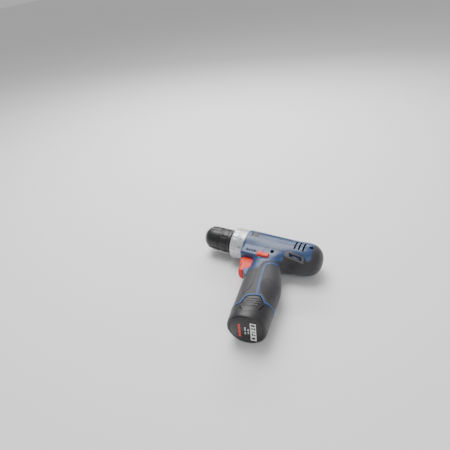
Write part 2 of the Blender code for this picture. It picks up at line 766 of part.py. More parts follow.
def make_collar():
    r, length, wall = COLLAR_RADIUS, COLLAR_LENGTH, COLLAR_WALL
    inner = CASE_FLANGE_RADIUS + GAP
    profile = [(0.0, r - 2.4 * MM), (0.7 * MM, r - 1.1 * MM), (2.0 * MM, r - 0.4 * MM), (4.0 * MM, r),
               (length - 0.6 * MM, r), (length, r - 0.6 * MM), (length, inner), (wall, inner),
               (wall, CASE_NOSE_RADIUS + 1.0 * MM), (0.0, CASE_NOSE_RADIUS + 1.0 * MM)]
    collar = turned("torque_collar", profile, 36)
    dents = None
    for i in range(COLLAR_RIBS):
        angle = math.tau * (i + 0.5) / COLLAR_RIBS
        out = Vector((0.0, math.cos(angle), math.sin(angle)))
        centre = out * (r + 1.75 * MM)
        dent = rod("dent", centre + Vector((1.4 * MM, 0, 0)), centre + Vector((9.6 * MM, 0, 0)), 2.2 * MM, 6)
        if dents is None:
            dents = dent
        else:
            dents = join(dents, dent)
    return cut(collar, dents)


def make_clutch():
    inner = CASE_NOSE_RADIUS + GAP
    spring = coil("clutch_spring", 12.6 * MM, 0.0, 0.0, 17.2 * MM, 1.2 * MM, 12.0 * MM, 3, 14)
    plate = turned("clutch_plate", [(20.4 * MM, 21.4 * MM), (22.8 * MM, 21.4 * MM), (22.8 * MM, inner),
                                    (20.4 * MM, inner)])
    return spring, plate


# Gearbox

def tooth_angle(pitch_radius, radius, teeth, thickening):
    """Half the angle of an involute tooth at a radius."""
    pressure = math.radians(20.0)
    base = pitch_radius * math.cos(pressure)
    involute = math.tan(pressure) - pressure
    at = math.acos(min(1.0, base / max(radius, base)))
    return math.pi / (2 * teeth) + thickening / (2 * pitch_radius) + involute - (math.tan(at) - at)


def gear_outline(teeth, inner_mods, outer_mods, thickening, turn):
    """Points round a gear: for each tooth its two flanks, each from root to tip."""
    pitch = MODULE * teeth / 2
    low, high = pitch - inner_mods * MODULE, pitch + outer_mods * MODULE
    points = []
    for i in range(teeth):
        middle = math.tau * i / teeth + turn
        for side in (-1, 1):
            radii = (low, high) if side < 0 else (high, low)
            for radius in radii:
                angle = middle + side * tooth_angle(pitch, radius, teeth, thickening)
                points.append((radius * math.cos(angle), radius * math.sin(angle)))
    return points


def gear_solid(name, outline, front, width, centre=(0.0, 0.0)):
    """A gear's outline given its width along X."""
    rings = []
    for x in (front, front + width):
        rings.append([(x, centre[0] + y, centre[1] + z) for y, z in outline])
    return loft(name, rings)


CENTRE_DISTANCE = MODULE * (SUN_TEETH + PLANET_TEETH) / 2
PLANET_ANGLES = [math.tau * i / PLANETS for i in range(PLANETS)]


def planet_centre(angle):
    return CENTRE_DISTANCE * math.cos(angle), CENTRE_DISTANCE * math.sin(angle)


def planet_turn(angle):
    """How a planet is turned so that it meshes with a sun that has a tooth pointing along +Y."""
    sun_phase = angle * SUN_TEETH / math.tau
    return angle + math.pi + (sun_phase % 1.0 - 0.5) * math.tau / PLANET_TEETH


def make_planets(stage, front):
    outline_width = GEAR_WIDTH - 2 * GAP
    planets = []
    for i, angle in enumerate(PLANET_ANGLES):
        outline = gear_outline(PLANET_TEETH, 1.0 + TIP_CLEARANCE, 1.0, -BACKLASH / 2, planet_turn(angle))
        name = f"planet_gear_{stage}_{'abc'[i]}"
        y, z = planet_centre(angle)
        planet = gear_solid(name, outline, front + GAP, outline_width, (y, z))
        bore = rod("bore", (front - MM, y, z), (front + GEAR_WIDTH + MM, y, z), PIN_RADIUS + RUNNING, 10)
        planets.append(rename(cut(planet, bore), name))
    return planets


def make_carrier(name, plate_front):
    plate = rod(name, (plate_front, 0.0, 0.0), (plate_front + CARRIER_THICKNESS, 0.0, 0.0),
                CENTRE_DISTANCE + 2.6 * MM, 24)
    for angle in PLANET_ANGLES:
        y, z = planet_centre(angle)
        end = plate_front + CARRIER_THICKNESS + GEAR_WIDTH + 0.4 * MM
        plate = join(plate, rod("pin", (plate_front + MM, y, z), (end, y, z), PIN_RADIUS, 10))
    return rename(plate, name)


def sun_outline():
    return gear_outline(SUN_TEETH, 1.0 + TIP_CLEARANCE, 1.0, -BACKLASH / 2, 0.0)


def make_spindle():
    """Output shaft and the carrier that drives it, in one piece of steel."""
    front = STAGE_2 - CARRIER_THICKNESS
    carrier = make_carrier("spindle", front)
    shoulder = SLEEVE_REAR + CHUCK_REAR_STEP + GAP
    shaft = rod("shaft", (shoulder, 0.0, 0.0), (front + MM, 0.0, 0.0), SPINDLE_RADIUS, 24)
    thread = rod("thread", (SPINDLE_FRONT, 0.0, 0.0), (shoulder + MM, 0.0, 0.0),
                 SPINDLE_THREAD_RADIUS, 24)
    shaft = join(shaft, thread)
    return rename(join(carrier, shaft), "spindle")


def make_middle_carrier():
    """Carrier of the motor stage, with the output stage's sun gear on its front."""
    front = STAGE_1 - CARRIER_THICKNESS
    carrier = make_carrier("middle_carrier", front)
    sun = gear_solid("sun", sun_outline(), STAGE_2 + GAP, front - STAGE_2, (0.0, 0.0))
    return rename(join(carrier, sun), "middle_carrier")


def make_motor_pinion():
    pinion = gear_solid("motor_pinion", sun_outline(), STAGE_1 + GAP, 9.0 * MM)
    bore = rod("bore", (STAGE_1 - 2 * MM, 0, 0), (MOTOR_FRONT, 0, 0), SHAFT_RADIUS + GAP / 2)
    return cut(pinion, bore)


def make_ring_gear():
    front = STAGE_2 - 0.4 * MM
    length = STAGE_1 + GEAR_WIDTH + 0.6 * MM - front
    ring = turned("ring_gear", [(front, RING_RADIUS), (front + length, RING_RADIUS),
                                (front + length, 12 * MM), (front, 12 * MM)])
    turn = ring_turn()
    outline = gear_outline(RING_TEETH, 1.0, 1.0 + TIP_CLEARANCE, BACKLASH / 2, turn)
    space = gear_solid("space", outline, front - MM, length + 2 * MM)
    return rename(cut(ring, space), "ring_gear")


def ring_turn():
    """The ring's tooth spaces line up with the planet that sits along +Y."""
    planet_tip = planet_turn(0.0)
    steps = (0.0 - planet_tip) / (math.tau / PLANET_TEETH)
    remainder = (steps - round(steps)) * math.tau / PLANET_TEETH
    return -remainder * PLANET_TEETH / RING_TEETH


def make_gearbox_case():
    flange_front = 24.6 * MM
    chamber_front = STAGE_2 - CARRIER_THICKNESS - 2.0 * MM
    chamber_end = STAGE_1 + GEAR_WIDTH + 6.4 * MM
    inner, outer = RING_RADIUS + GAP, RING_RADIUS + GAP + CASE_WALL
    bearing_seat = BEARING_RADIUS + GAP
    end_of_seat = BEARING_FRONT + BEARING_LENGTH + GAP
    throat = SPINDLE_RADIUS + 1.2 * MM
    profile = [(4.0 * MM, CASE_NOSE_RADIUS), (flange_front, CASE_NOSE_RADIUS),
               (flange_front, CASE_FLANGE_RADIUS), (chamber_front, CASE_FLANGE_RADIUS),
               (chamber_front + 1.5 * MM, outer), (chamber_end, outer), (chamber_end, inner),
               (chamber_front, inner), (chamber_front, throat), (end_of_seat, throat),
               (end_of_seat, bearing_seat), (4.0 * MM, bearing_seat)]
    return turned("gearbox_case", profile)


def make_gearbox_cover():
    front = STAGE_1 + GEAR_WIDTH + 3.0 * MM
    return turned("gearbox_cover", [(front, RING_RADIUS), (front + 2.4 * MM, RING_RADIUS),
                                    (front + 2.4 * MM, 6.0 * MM), (front, 6.0 * MM)], 24)


def make_bearing():
    return turned("spindle_bearing", [(BEARING_FRONT, BEARING_RADIUS),
                                      (BEARING_FRONT + BEARING_LENGTH, BEARING_RADIUS),
                                      (BEARING_FRONT + BEARING_LENGTH, SPINDLE_RADIUS + RUNNING),
                                      (BEARING_FRONT, SPINDLE_RADIUS + RUNNING)], 24)


# Chuck

def jaw_direction(angle):
    """The way a jaw slides to open: backwards and outwards."""
    return Vector((math.cos(JAW_LEAN), math.sin(JAW_LEAN) * math.cos(angle),
                   math.sin(JAW_LEAN) * math.sin(angle)))


def jaw_axis_point(angle, x):
    radial = JAW_AXIS_AT_FRONT + (x - (CHUCK_NOSE + JAW_SETBACK)) * math.tan(JAW_LEAN)
    return Vector((x, radial * math.cos(angle), radial * math.sin(angle)))


JAW_ANGLES = [math.tau * (i + 0.25) / JAW_COUNT for i in range(JAW_COUNT)]


def make_jaws():
    jaws = []
    front = CHUCK_NOSE + JAW_SETBACK
    for i, angle in enumerate(JAW_ANGLES):
        start = jaw_axis_point(angle, front) - jaw_direction(angle) * 3 * MM
        end = jaw_axis_point(angle, front) + jaw_direction(angle) * JAW_LENGTH
        jaw = rod(f"jaw_{i + 1}", start, end, JAW_RADIUS, 12)
        flat = 0.5 * MM
        reach = 20 * MM
        section = [(JAW_OPENING, -flat), (JAW_OPENING + reach * math.cos(math.radians(60)),
                                          -flat - reach * math.sin(math.radians(60))),
                   (JAW_OPENING + reach, -reach), (JAW_OPENING + reach, reach),
                   (JAW_OPENING + reach * math.cos(math.radians(60)),
                    flat + reach * math.sin(math.radians(60))), (JAW_OPENING, flat)]
        rings = []
        for x in (front, front + 2 * JAW_LENGTH):
            rings.append([(x, a * math.cos(angle) - b * math.sin(angle),
                           a * math.sin(angle) + b * math.cos(angle)) for a, b in section])
        jaws.append(rename(keep_inside(jaw, loft("wedge", rings)), f"jaw_{i + 1}"))
    return jaws


def make_chuck_body():
    outer = SLEEVE_RADIUS - SLEEVE_WALL - GAP
    shoulder = CHUCK_NOSE + NOSE_LENGTH
    groove = (NUT_FRONT - 0.4 * MM, NUT_FRONT + NUT_LENGTH + 0.4 * MM)
    rear = SLEEVE_REAR + CHUCK_REAR_STEP
    bore_end = SPINDLE_FRONT - 8 * MM
    bit = BIT_BORE
    profile = [(CHUCK_NOSE, NOSE_RADIUS - 0.8 * MM), (CHUCK_NOSE + 0.8 * MM, NOSE_RADIUS),
               (shoulder, NOSE_RADIUS), (shoulder, outer - CORE_TAPER), (groove[0], outer),
               (groove[0], CORE_RADIUS),
               (groove[1], CORE_RADIUS), (groove[1], outer), (rear, outer),
               (rear, SPINDLE_THREAD_RADIUS + GAP), (SPINDLE_FRONT - GAP, SPINDLE_THREAD_RADIUS + GAP),
               (SPINDLE_FRONT - GAP, 2.4 * MM), (bore_end, 2.4 * MM), (bore_end, bit),
               (CHUCK_NOSE, bit)]
    body = turned("chuck_body", profile, 24)
    for angle in JAW_ANGLES:
        start = jaw_axis_point(angle, CHUCK_NOSE - 12 * MM)
        end = jaw_axis_point(angle, CHUCK_NOSE + JAW_SETBACK) + jaw_direction(angle) * (JAW_LENGTH + 7.4 * MM)
        body = cut(body, rod("jaw_bore", start, end, JAW_RADIUS + GAP, 12))
    return rename(body, "chuck_body")


def make_chuck_screw():
    """The screw that holds the chuck on the output shaft, reached down the bit's bore."""
    head_front = SPINDLE_FRONT - 8 * MM - 3.0 * MM
    head = rod("chuck_screw", (head_front, 0, 0), (SPINDLE_FRONT - 8 * MM - GAP, 0, 0), 3.9 * MM)
    shank = rod("shank", (head_front + MM, 0, 0), (SPINDLE_FRONT - GAP, 0, 0), 2.0 * MM, 16)
    return rename(join(head, shank), "chuck_screw")


def make_sleeve():
    r, wall = SLEEVE_RADIUS, SLEEVE_WALL
    inner = r - wall
    waist = -22.6 * MM
    front = CHUCK_NOSE + NOSE_LENGTH - GAP
    core_end = NUT_FRONT - 0.4 * MM - GAP
    profile = [(SLEEVE_FRONT, r - SLEEVE_TAPER - 1.0 * MM), (SLEEVE_FRONT + 0.6 * MM, r - SLEEVE_TAPER),
               (SLEEVE_FRONT + 4.2 * MM, r - 2.0 * MM), (SLEEVE_FRONT + 9 * MM, r - 0.8 * MM),
               (SLEEVE_FRONT + 15 * MM, r - 0.2 * MM),
               (waist - 0.8 * MM, r), (waist - 0.6 * MM, r - 0.7 * MM), (waist + 0.6 * MM, r - 0.7 * MM),
               (waist + 0.8 * MM, r), (SLEEVE_REAR - 1.0 * MM, r), (SLEEVE_REAR, r - 1.0 * MM),
               (SLEEVE_REAR, inner), (core_end, inner), (front, inner - CORE_TAPER),
               (front, NOSE_RADIUS + RUNNING + GAP),
               (SLEEVE_FRONT, NOSE_RADIUS + RUNNING + GAP)]
    sleeve = turned("chuck_sleeve", profile)
    flutes = None
    rows = ((SLEEVE_FRONT + 5 * MM, waist - 2.4 * MM, 0.25), (waist + 2.4 * MM, SLEEVE_REAR - 4 * MM, 0.75))
    for low, high, phase in rows:
        for i in range(SLEEVE_PADS):
            angle = math.tau * (i + phase) / SLEEVE_PADS
            flute = block("flute", (low, r - 0.7 * MM, -0.9 * MM), (high, r + 2 * MM, 0.9 * MM))
            flute.data.transform(Matrix.Rotation(angle, 4, "X"))
            flutes = flute if flutes is None else join(flutes, flute)
    return rename(cut(sleeve, flutes), "chuck_sleeve")


def make_jaw_nut():
    clearance = JAW_RADIUS / math.cos(JAW_LEAN) + 0.4 * MM
    outer = SLEEVE_RADIUS - SLEEVE_WALL - GAP
    radii = []
    for x in (NUT_FRONT, NUT_FRONT + NUT_LENGTH):
        radii.append(jaw_axis_point(0.0, x).y + clearance)
    return turned("jaw_nut", [(NUT_FRONT, outer), (NUT_FRONT + NUT_LENGTH, outer),
                              (NUT_FRONT + NUT_LENGTH, radii[1]), (NUT_FRONT, radii[0])])


# Motor

def make_motor():
    front, end = MOTOR_FRONT, MOTOR_FRONT + MOTOR_LENGTH
    r, wall = MOTOR_RADIUS, MOTOR_WALL
    can = turned("motor_can", [(front, r - MM), (front + MM, r), (end, r), (end, r - wall),
                               (front + wall, r - wall), (front + wall, SHAFT_RADIUS + 1.5 * MM),
                               (front, SHAFT_RADIUS + 1.5 * MM)])
    cap_front = end + GAP
    cap = turned("motor_end_cap", [(cap_front, r), (cap_front + 2.4 * MM, r), (cap_front + 4.4 * MM, r - 6 * MM),
                                   (cap_front + 4.4 * MM, SHAFT_RADIUS + RUNNING),
                                   (cap_front - 2.6 * MM, SHAFT_RADIUS + RUNNING),
                                   (cap_front - 2.6 * MM, 4.4 * MM), (cap_front, 4.4 * MM)])
    shaft = rod("motor_shaft", (STAGE_1 + 1.5 * MM, 0, 0), (end + 3.4 * MM, 0, 0), SHAFT_RADIUS)
    core_front = front + 9 * MM
    core = turned("armature", [(core_front, ARMATURE_RADIUS), (core_front + ARMATURE_LENGTH, ARMATURE_RADIUS),
                               (core_front + ARMATURE_LENGTH, SHAFT_RADIUS + GAP / 2),
                               (core_front, SHAFT_RADIUS + GAP / 2)], 20)
    for i in range(5):
        angle = math.tau * i / 5
        slot = block("slot", (core_front - MM, ARMATURE_RADIUS - 4 * MM, -0.7 * MM),
                     (core_front + ARMATURE_LENGTH + MM, ARMATURE_RADIUS + MM, 0.7 * MM))
        slot.data.transform(Matrix.Rotation(angle, 4, "X"))
        core = cut(core, slot)
    core = rename(core, "armature")
    ring_front = core_front + ARMATURE_LENGTH + 2 * MM
    commutator = turned("commutator", [(ring_front, 4.2 * MM), (ring_front + 6.5 * MM, 4.2 * MM),
                                       (ring_front + 6.5 * MM, SHAFT_RADIUS + GAP / 2),
                                       (ring_front, SHAFT_RADIUS + GAP / 2)], 16)
    pieces = [can, cap, shaft, core, commutator, make_fan(front + 2.4 * MM)]
    for side, name in ((1, "upper"), (-1, "lower")):
        low, high = sorted((side * (4.2 * MM + GAP), side * (11 * MM)))
        pieces.append(block(f"brush_{name}", (ring_front + MM, low, -1.8 * MM),
                            (ring_front + 5 * MM, high, 1.8 * MM)))
    pieces += make_magnets(core_front)
    return pieces


def make_fan(front):
    hub = turned("cooling_fan", [(front, FAN_RADIUS), (front + MM, FAN_RADIUS), (front + MM, 4 * MM),
                                 (front + 5 * MM, 4 * MM), (front + 5 * MM, SHAFT_RADIUS + GAP / 2),
                                 (front, SHAFT_RADIUS + GAP / 2)], 24)
    blades = None
    for i in range(FAN_BLADES):
        blade = block("blade", (front + 0.6 * MM, 5.5 * MM, -0.5 * MM), (front + 4.6 * MM, 13.4 * MM, 0.5 * MM))
        blade.data.transform(Matrix.Rotation(math.tau * i / FAN_BLADES, 4, "X"))
        blades = blade if blades is None else join(blades, blade)
    return rename(join(hub, blades), "cooling_fan")


def make_magnets(front):
    outer = MOTOR_RADIUS - MOTOR_WALL - GAP
    inner = outer - MAGNET_THICKNESS
    magnets = []
    for name, middle in (("magnet_left", math.pi / 2), ("magnet_right", -math.pi / 2)):
        outline = []
        for radius, direction in ((outer, 1), (inner, -1)):
            for i in range(9):
                angle = middle + direction * math.radians(58) * (i / 4 - 1)
                outline.append((radius * math.cos(angle), radius * math.sin(angle)))
        magnets.append(gear_solid(name, outline, front, ARMATURE_LENGTH))
    return magnets


# Battery pack

def tower_solid(name, inset, low, high):
    rings = []
    for up in (low, high):
        ring = []
        for i in range(GRIP_SIDES):
            u, v = superellipse(math.tau * (i + 0.5) / GRIP_SIDES, TOWER_SQUARENESS)
            across = TOWER_MIDDLE + (TOWER_HALF_DEPTH - inset) * u
            ring.append(grip_point(across, up, (TOWER_HALF_WIDTH - inset) * v))
        rings.append(ring)
    return loft(name, rings)


def make_battery_case():
    skirt = base_solid("battery_case", 60 * MM)
    skirt = keep_inside(skirt, extruded("below_rim", rim_outline(-GAP), -FAR, FAR))
    skirt = cut(skirt, extruded("cap", cap_outline(GAP), -FAR, FAR))
    case = join(skirt, tower_solid("tower", 0.0, 16 * MM, TOWER_TOP))
    shoulder = SKIRT_WALL + GAP
    hollow = keep_inside(grip_solid("hollow", SKIRT_WALL, 0.0, 60 * MM, INNER_SIDES),
                         extruded("ceiling", rim_outline(-shoulder), -FAR, FAR))
    case = cut(case, hollow)
    case = cut(case, tower_solid("tower_inside", TOWER_WALL, 2 * MM, TOWER_TOP - 2 * MM))
    opening = offset_outline(grip_outline(BUTTON), GAP)
    outside = tower_solid("keep_tower", -0.6 * MM, -20 * MM, TOWER_TOP + 20 * MM)
    window = cut(extruded("button_window", opening, -FAR, FAR), outside)
    return rename(cut(case, window), "battery_case")


def make_battery_cap():
    cap = base_solid("battery_cap", 36 * MM)
    cap = keep_inside(cap, extruded("below", cap_outline(), -FAR, FAR))
    hollow = grip_solid("hollow", SKIRT_WALL, 3.0 * MM, 40 * MM, INNER_SIDES)
    cap = cut(cap, hollow)
    recess = rod("recess", grip_point(0.0, -5 * MM), grip_point(0.0, LABEL_THICKNESS + GAP),
                 LABEL_RADIUS + GAP, SIDES)
    return rename(cut(cap, recess), "battery_cap")


def make_label():
    """The round plate that closes the battery's end, flush with the ring around it."""
    return rod("battery_end_plate", grip_point(0.0, 0.0), grip_point(0.0, LABEL_THICKNESS),
               LABEL_RADIUS, SIDES)


def make_buttons():
    buttons = []
    for side, name in ((1, "release_button_left"), (-1, "release_button_right")):
        button = grip_solid(name, BUTTON_RECESS, 4 * MM, 60 * MM)
        button = cut(button, grip_solid("behind", BUTTON_RECESS + BUTTON_THICKNESS, 0.0, 64 * MM))
        low, high = (5 * MM, FAR) if side > 0 else (-FAR, -5 * MM)
        button = keep_inside(button, extruded("outline", grip_outline(BUTTON), low, high))
        buttons.append(rename(button, name))
    return buttons


def make_cells():
    pitch = CELL_RADIUS + GAP / 2
    rise = pitch * math.sqrt(3.0) / 2
    places = ((-pitch, -rise), (pitch, -rise), (0.0, rise))
    cells = []
    for i, (across, out) in enumerate(places):
        across += TOWER_MIDDLE
        cells.append(rod(f"battery_cell_{i + 1}", grip_point(across, CELL_BOTTOM, out),
                         grip_point(across, CELL_BOTTOM + CELL_LENGTH, out), CELL_RADIUS, 20))
    return cells


def grip_block(name, across, up, out):
    """A box along the grip's own directions, from three pairs of limits."""
    rings = []
    for height in up:
        rings.append([grip_point(across[0], height, out[0]), grip_point(across[1], height, out[0]),
                      grip_point(across[1], height, out[1]), grip_point(across[0], height, out[1])])
    return loft(name, rings)


def make_battery_electrics():
    board_low = CELL_BOTTOM + CELL_LENGTH + 1.4 * MM
    board = grip_block("protection_board", (-15 * MM, 15 * MM), (board_low, board_low + 1.4 * MM),
                       (-9 * MM, 9 * MM))
    contacts = grip_block("battery_contacts", (-8 * MM, 8 * MM), (TOWER_TOP + GAP, TOWER_TOP + 3.2 * MM),
                          (-7 * MM, 7 * MM))
    terminal = grip_block("terminal_block", (-10 * MM, 10 * MM), (TOWER_TOP + 3.8 * MM, TOWER_TOP + 6.0 * MM),
                          (-9 * MM, 9 * MM))
    return board, contacts, terminal


# Putting it together

def finish(item, paint, parent, origin=(0.0, 0.0, 0.0)):
    """Give a part its material, smooth its round faces and put its origin on its own axis."""
    origin = Vector(origin)
    item.data.transform(Matrix.Translation(-origin))
    item.data.materials.clear()
    item.data.materials.append(paint)
    item.data.shade_smooth()
    item.data.set_sharp_from_angle(angle=math.radians(32))
    item.parent = parent
    item.location = origin
    return item


def stand_on_floor(root):
    """Move the whole drill so that the middle of its underside is at the world's origin."""
    bpy.context.view_layer.update()
    points = [item.matrix_world @ vertex.co for item in PARTS.objects if item.type == "MESH"
              for vertex in item.data.vertices]
    low = Vector([min(point[k] for point in points) for k in range(3)])
    high = Vector([max(point[k] for point in points) for k in range(3)])
    root.location -= Vector(((low.x + high.x) / 2, (low.y + high.y) / 2, low.z))


def build():
    root = bpy.data.objects.new("cordless_drill", None)
    PARTS.objects.link(root)
    blue = material("blue_abs", BLUE, 0.42)
    soft = material("soft_rubber", SOFT_GREY, 0.75)
    red = material("red_abs", RED, 0.4)
    silver = material("silver_nylon", SILVER, 0.45)
    black = material("black_nylon", BLACK, 0.5)
    steel = material("steel", STEEL, 0.3, 1.0)
    sintered = material("sintered_steel", STEEL, 0.5, 1.0)
    brass = material("brass", BRASS, 0.35, 1.0)
    copper = material("copper", COPPER, 0.35, 1.0)
    green = material("circuit_board", GREEN, 0.5)
    nylon = material("white_nylon", WHITE_NYLON, 0.5)
    ferrite = material("ferrite", BLACK, 0.8)
    wrap = material("cell_wrap", CELL_COVER, 0.4)
    gloss = material("gloss_black", BLACK, 0.15)

    for shell in make_housing():
        finish(shell, blue, root)
    for cover in make_covers():
        finish(cover, soft, root)
    finish(make_badge(), black, root)
    for screw in make_screws():
        finish(screw, steel, root)

    finish(make_trigger(), red, root, (TRIGGER_REAR, -47.5 * MM, 0.0))
    finish(make_trigger_spring(), steel, root)
    finish(make_switch(), black, root)
    finish(make_lever(), red, root, (LEVER_X, LEVER_Y, 0.0))

    finish(make_collar(), silver, root)
    spring, plate = make_clutch()
    finish(spring, steel, root)
    finish(plate, steel, root)

    finish(make_gearbox_case(), nylon, root)
    finish(make_gearbox_cover(), nylon, root)
    finish(make_ring_gear(), sintered, root)
    finish(make_bearing(), steel, root)
    finish(make_spindle(), steel, root)
    finish(make_middle_carrier(), sintered, root)
    finish(make_motor_pinion(), brass, root)
    for stage, front in ((1, STAGE_1), (2, STAGE_2)):
        for planet, angle in zip(make_planets(stage, front), PLANET_ANGLES):
            finish(planet, sintered, root, (front, *planet_centre(angle)))

    finish(make_chuck_body(), steel, root)
    finish(make_chuck_screw(), steel, root)
    finish(make_sleeve(), black, root)
    finish(make_jaw_nut(), sintered, root)
    for jaw, angle in zip(make_jaws(), JAW_ANGLES):
        finish(jaw, steel, root, jaw_axis_point(angle, CHUCK_NOSE + JAW_SETBACK))

    paints = {"motor_can": steel, "motor_end_cap": black, "motor_shaft": steel, "armature": copper,
              "commutator": copper, "cooling_fan": nylon, "magnet_left": ferrite, "magnet_right": ferrite,
              "brush_upper": ferrite, "brush_lower": ferrite}
    for piece in make_motor():
        finish(piece, paints[piece.name], root)

    base = grip_point(0.0, 0.0)
    finish(make_battery_case(), black, root, base)
    finish(make_battery_cap(), black, root, base)
    finish(make_label(), gloss, root, base)
    for button in make_buttons():
        finish(button, black, root, grip_point(2 * MM, 30 * MM))
    for cell in make_cells():
        finish(cell, wrap, root, base)
    board, contacts, terminal = make_battery_electrics()
    finish(board, green, root, base)
    finish(contacts, brass, root, base)
    finish(terminal, black, root)
    stand_on_floor(root)


clear_scene()
PARTS = new_collection("cordless_drill")
build()
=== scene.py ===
# %% [markdown]
# # A cordless drill, finished for rendering
# The solids of the drill come from the CAD frame: they already have their real sizes and places.
# Here each one gets the surface that a camera sees. Where a CAD solid is too plain, a finer piece is
# modelled over it and stands for it. Everything is in metres, in the same frame as the CAD.

# %% Open the frame
import json
import math

import bmesh
import bpy
import numpy as np
from mathutils import Matrix, Vector


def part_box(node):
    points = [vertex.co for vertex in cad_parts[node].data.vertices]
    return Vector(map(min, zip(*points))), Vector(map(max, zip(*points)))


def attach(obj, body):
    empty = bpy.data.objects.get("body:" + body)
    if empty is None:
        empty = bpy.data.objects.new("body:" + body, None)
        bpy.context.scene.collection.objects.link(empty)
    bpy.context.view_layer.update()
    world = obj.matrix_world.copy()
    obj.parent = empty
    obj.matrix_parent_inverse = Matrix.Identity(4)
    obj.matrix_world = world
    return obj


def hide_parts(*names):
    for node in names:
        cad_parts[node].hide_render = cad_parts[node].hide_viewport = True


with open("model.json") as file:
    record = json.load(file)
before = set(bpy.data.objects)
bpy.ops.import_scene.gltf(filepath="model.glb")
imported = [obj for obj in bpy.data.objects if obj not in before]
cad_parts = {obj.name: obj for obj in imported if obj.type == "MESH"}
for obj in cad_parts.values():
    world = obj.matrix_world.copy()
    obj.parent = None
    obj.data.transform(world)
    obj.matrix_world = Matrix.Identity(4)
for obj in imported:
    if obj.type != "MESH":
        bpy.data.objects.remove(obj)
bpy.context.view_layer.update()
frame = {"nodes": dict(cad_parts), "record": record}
MM = 0.001
collar_low, collar_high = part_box("torque_collar")
PLACE = Vector((collar_low[0], (collar_low[1] + collar_high[1]) / 2, (collar_low[2] + collar_high[2]) / 2))
print("barrel axis starts at", [round(value / MM, 2) for value in PLACE], "mm")

# %% [markdown]
# Pieces are drawn in the drill's own directions and in millimetres: X runs back along the barrel from
# the front of the torque collar, Y runs up, and Z runs out to the left side. `finished` moves a piece
# to its place, turns millimetres to metres, shades it, and says which body carries it. Small cuts are
# made with Boolean modifiers, which are applied at once so that no modifier is left.

# %% Helpers for objects
SHADE_ANGLE = math.radians(34)
WHOLE_TURN = math.tau
workshop = bpy.data.collections.new("workshop")
bpy.context.scene.collection.children.link(workshop)


def to_object(work, name):
    bmesh.ops.recalc_face_normals(work, faces=work.faces)
    mesh = bpy.data.meshes.new(name)
    work.to_mesh(mesh)
    work.free()
    item = bpy.data.objects.new(name, mesh)
    workshop.objects.link(item)
    return item


def opened(item):
    work = bmesh.new()
    work.from_mesh(item.data)
    return work


def put_back(work, item):
    work.to_mesh(item.data)
    work.free()
    return item


def pour(piece, work):
    """Adds one bmesh to another and frees it."""
    mesh = bpy.data.meshes.new("poured")
    piece.to_mesh(mesh)
    piece.free()
    work.from_mesh(mesh)
    bpy.data.meshes.remove(mesh)


def applied(item):
    view = bpy.context.evaluated_depsgraph_get()
    mesh = bpy.data.meshes.new_from_object(item.evaluated_get(view))
    old = item.data
    item.modifiers.clear()
    item.data = mesh
    bpy.data.meshes.remove(old)
    return item


def combine(item, tool, operation="DIFFERENCE"):
    change = item.modifiers.new("combine", "BOOLEAN")
    change.operation = operation
    change.solver = "EXACT"
    change.object = tool
    applied(item)
    bpy.data.objects.remove(tool, do_unlink=True)
    return item


def duplicate(item, name):
    twin = item.copy()
    twin.data = item.data.copy()
    twin.name = name
    workshop.objects.link(twin)
    return twin


def open_edges(item):
    work = opened(item)
    count = sum(edge.is_boundary for edge in work.edges)
    work.free()
    return count


def finished(item, body, finish, slot, *nodes, smooth=True):
    item.data.transform(Matrix.Translation(PLACE) @ Matrix.Scale(MM, 4))
    item.data.materials.clear()
    item.data.materials.append(finish)
    if smooth:
        item.data.shade_smooth()
        item.data.set_sharp_from_angle(angle=SHADE_ANGLE)
    else:
        item.data.shade_flat()
    if nodes:
        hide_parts(*nodes)
    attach(item, body)
    print(f"{item.name}: {len(item.data.polygons)} faces, {open_edges(item)} open edges, rides on {body}")
    return item


# %% [markdown]
# ## Materials
# Each finish starts from a Principled shader. `add` puts in one node with its settings and links, and
# is the only helper: every pattern is built from it. Colours are written as on a colour card and turned
# to linear light by `linear`. Patterns read Object coordinates, which are metres on these pieces, so a
# scale of 1000 / size gives features of that many millimetres.

# %% Material helpers
def linear(card):
    values = [int(card[i:i + 2], 16) / 255 for i in (1, 3, 5)]
    return (*[v / 12.92 if v <= 0.04045 else ((v + 0.055) / 1.055) ** 2.4 for v in values], 1.0)


def add(paint, kind, settings=None, links=None):
    """One node. A socket goes by its name, or by its number where several share a name."""
    node = paint.node_tree.nodes.new(kind)
    for name, value in (settings or {}).items():
        if isinstance(name, int) or name in node.inputs:
            node.inputs[name].default_value = value
        else:
            setattr(node, name, value)
    for name, source in (links or {}).items():
        paint.node_tree.links.new(source, node.inputs[name])
    return node


def start(name, colour, roughness, metallic=0.0, **more):
    paint = bpy.data.materials.new(name)
    paint.use_nodes = True
    shader = paint.node_tree.nodes["Principled BSDF"]
    shader.inputs["Base Color"].default_value = linear(colour)
    shader.inputs["Roughness"].default_value = roughness
    shader.inputs["Metallic"].default_value = metallic
    for socket, value in more.items():
        shader.inputs[socket.replace("_", " ")].default_value = value
    place = add(paint, "ShaderNodeTexCoord").outputs["Object"]
    return paint, shader, place


def per_mm(size):
    """The texture scale that gives a pattern of this size in millimetres."""
    return 1000.0 / size


print("mid grey on a card is", round(linear("#808080")[0], 3), "in linear light")


# %% [markdown]
# Moulded plastic is rarely one flat colour. The steel mould is spark-eroded, which leaves a fine grain
# of about half a millimetre; handling polishes it in patches; and the edges rub paler. On the silver
# collar the edge colour is darker instead, which is painted shade round its pads. `moulded` gives all
# three: noise for the grain into a Bump node, a slow noise that shifts the roughness, and Pointiness,
# which is high on convex edges, for the edge colour: wear, and on the silver painted shade.

# %% How moulded plastic and rubber are made
PATCH_MM = 26.0                          # size of the patches that handling polishes
PATCH_SMOOTHER, PATCH_ROUGHER = 0.07, 0.09
# how far the edge colour is mixed in: paler wear, and on the silver collar painted shade
EDGE_BEGIN, EDGE_FULL, EDGE_WEAR_AND_SHADE = 0.52, 0.62, 0.6


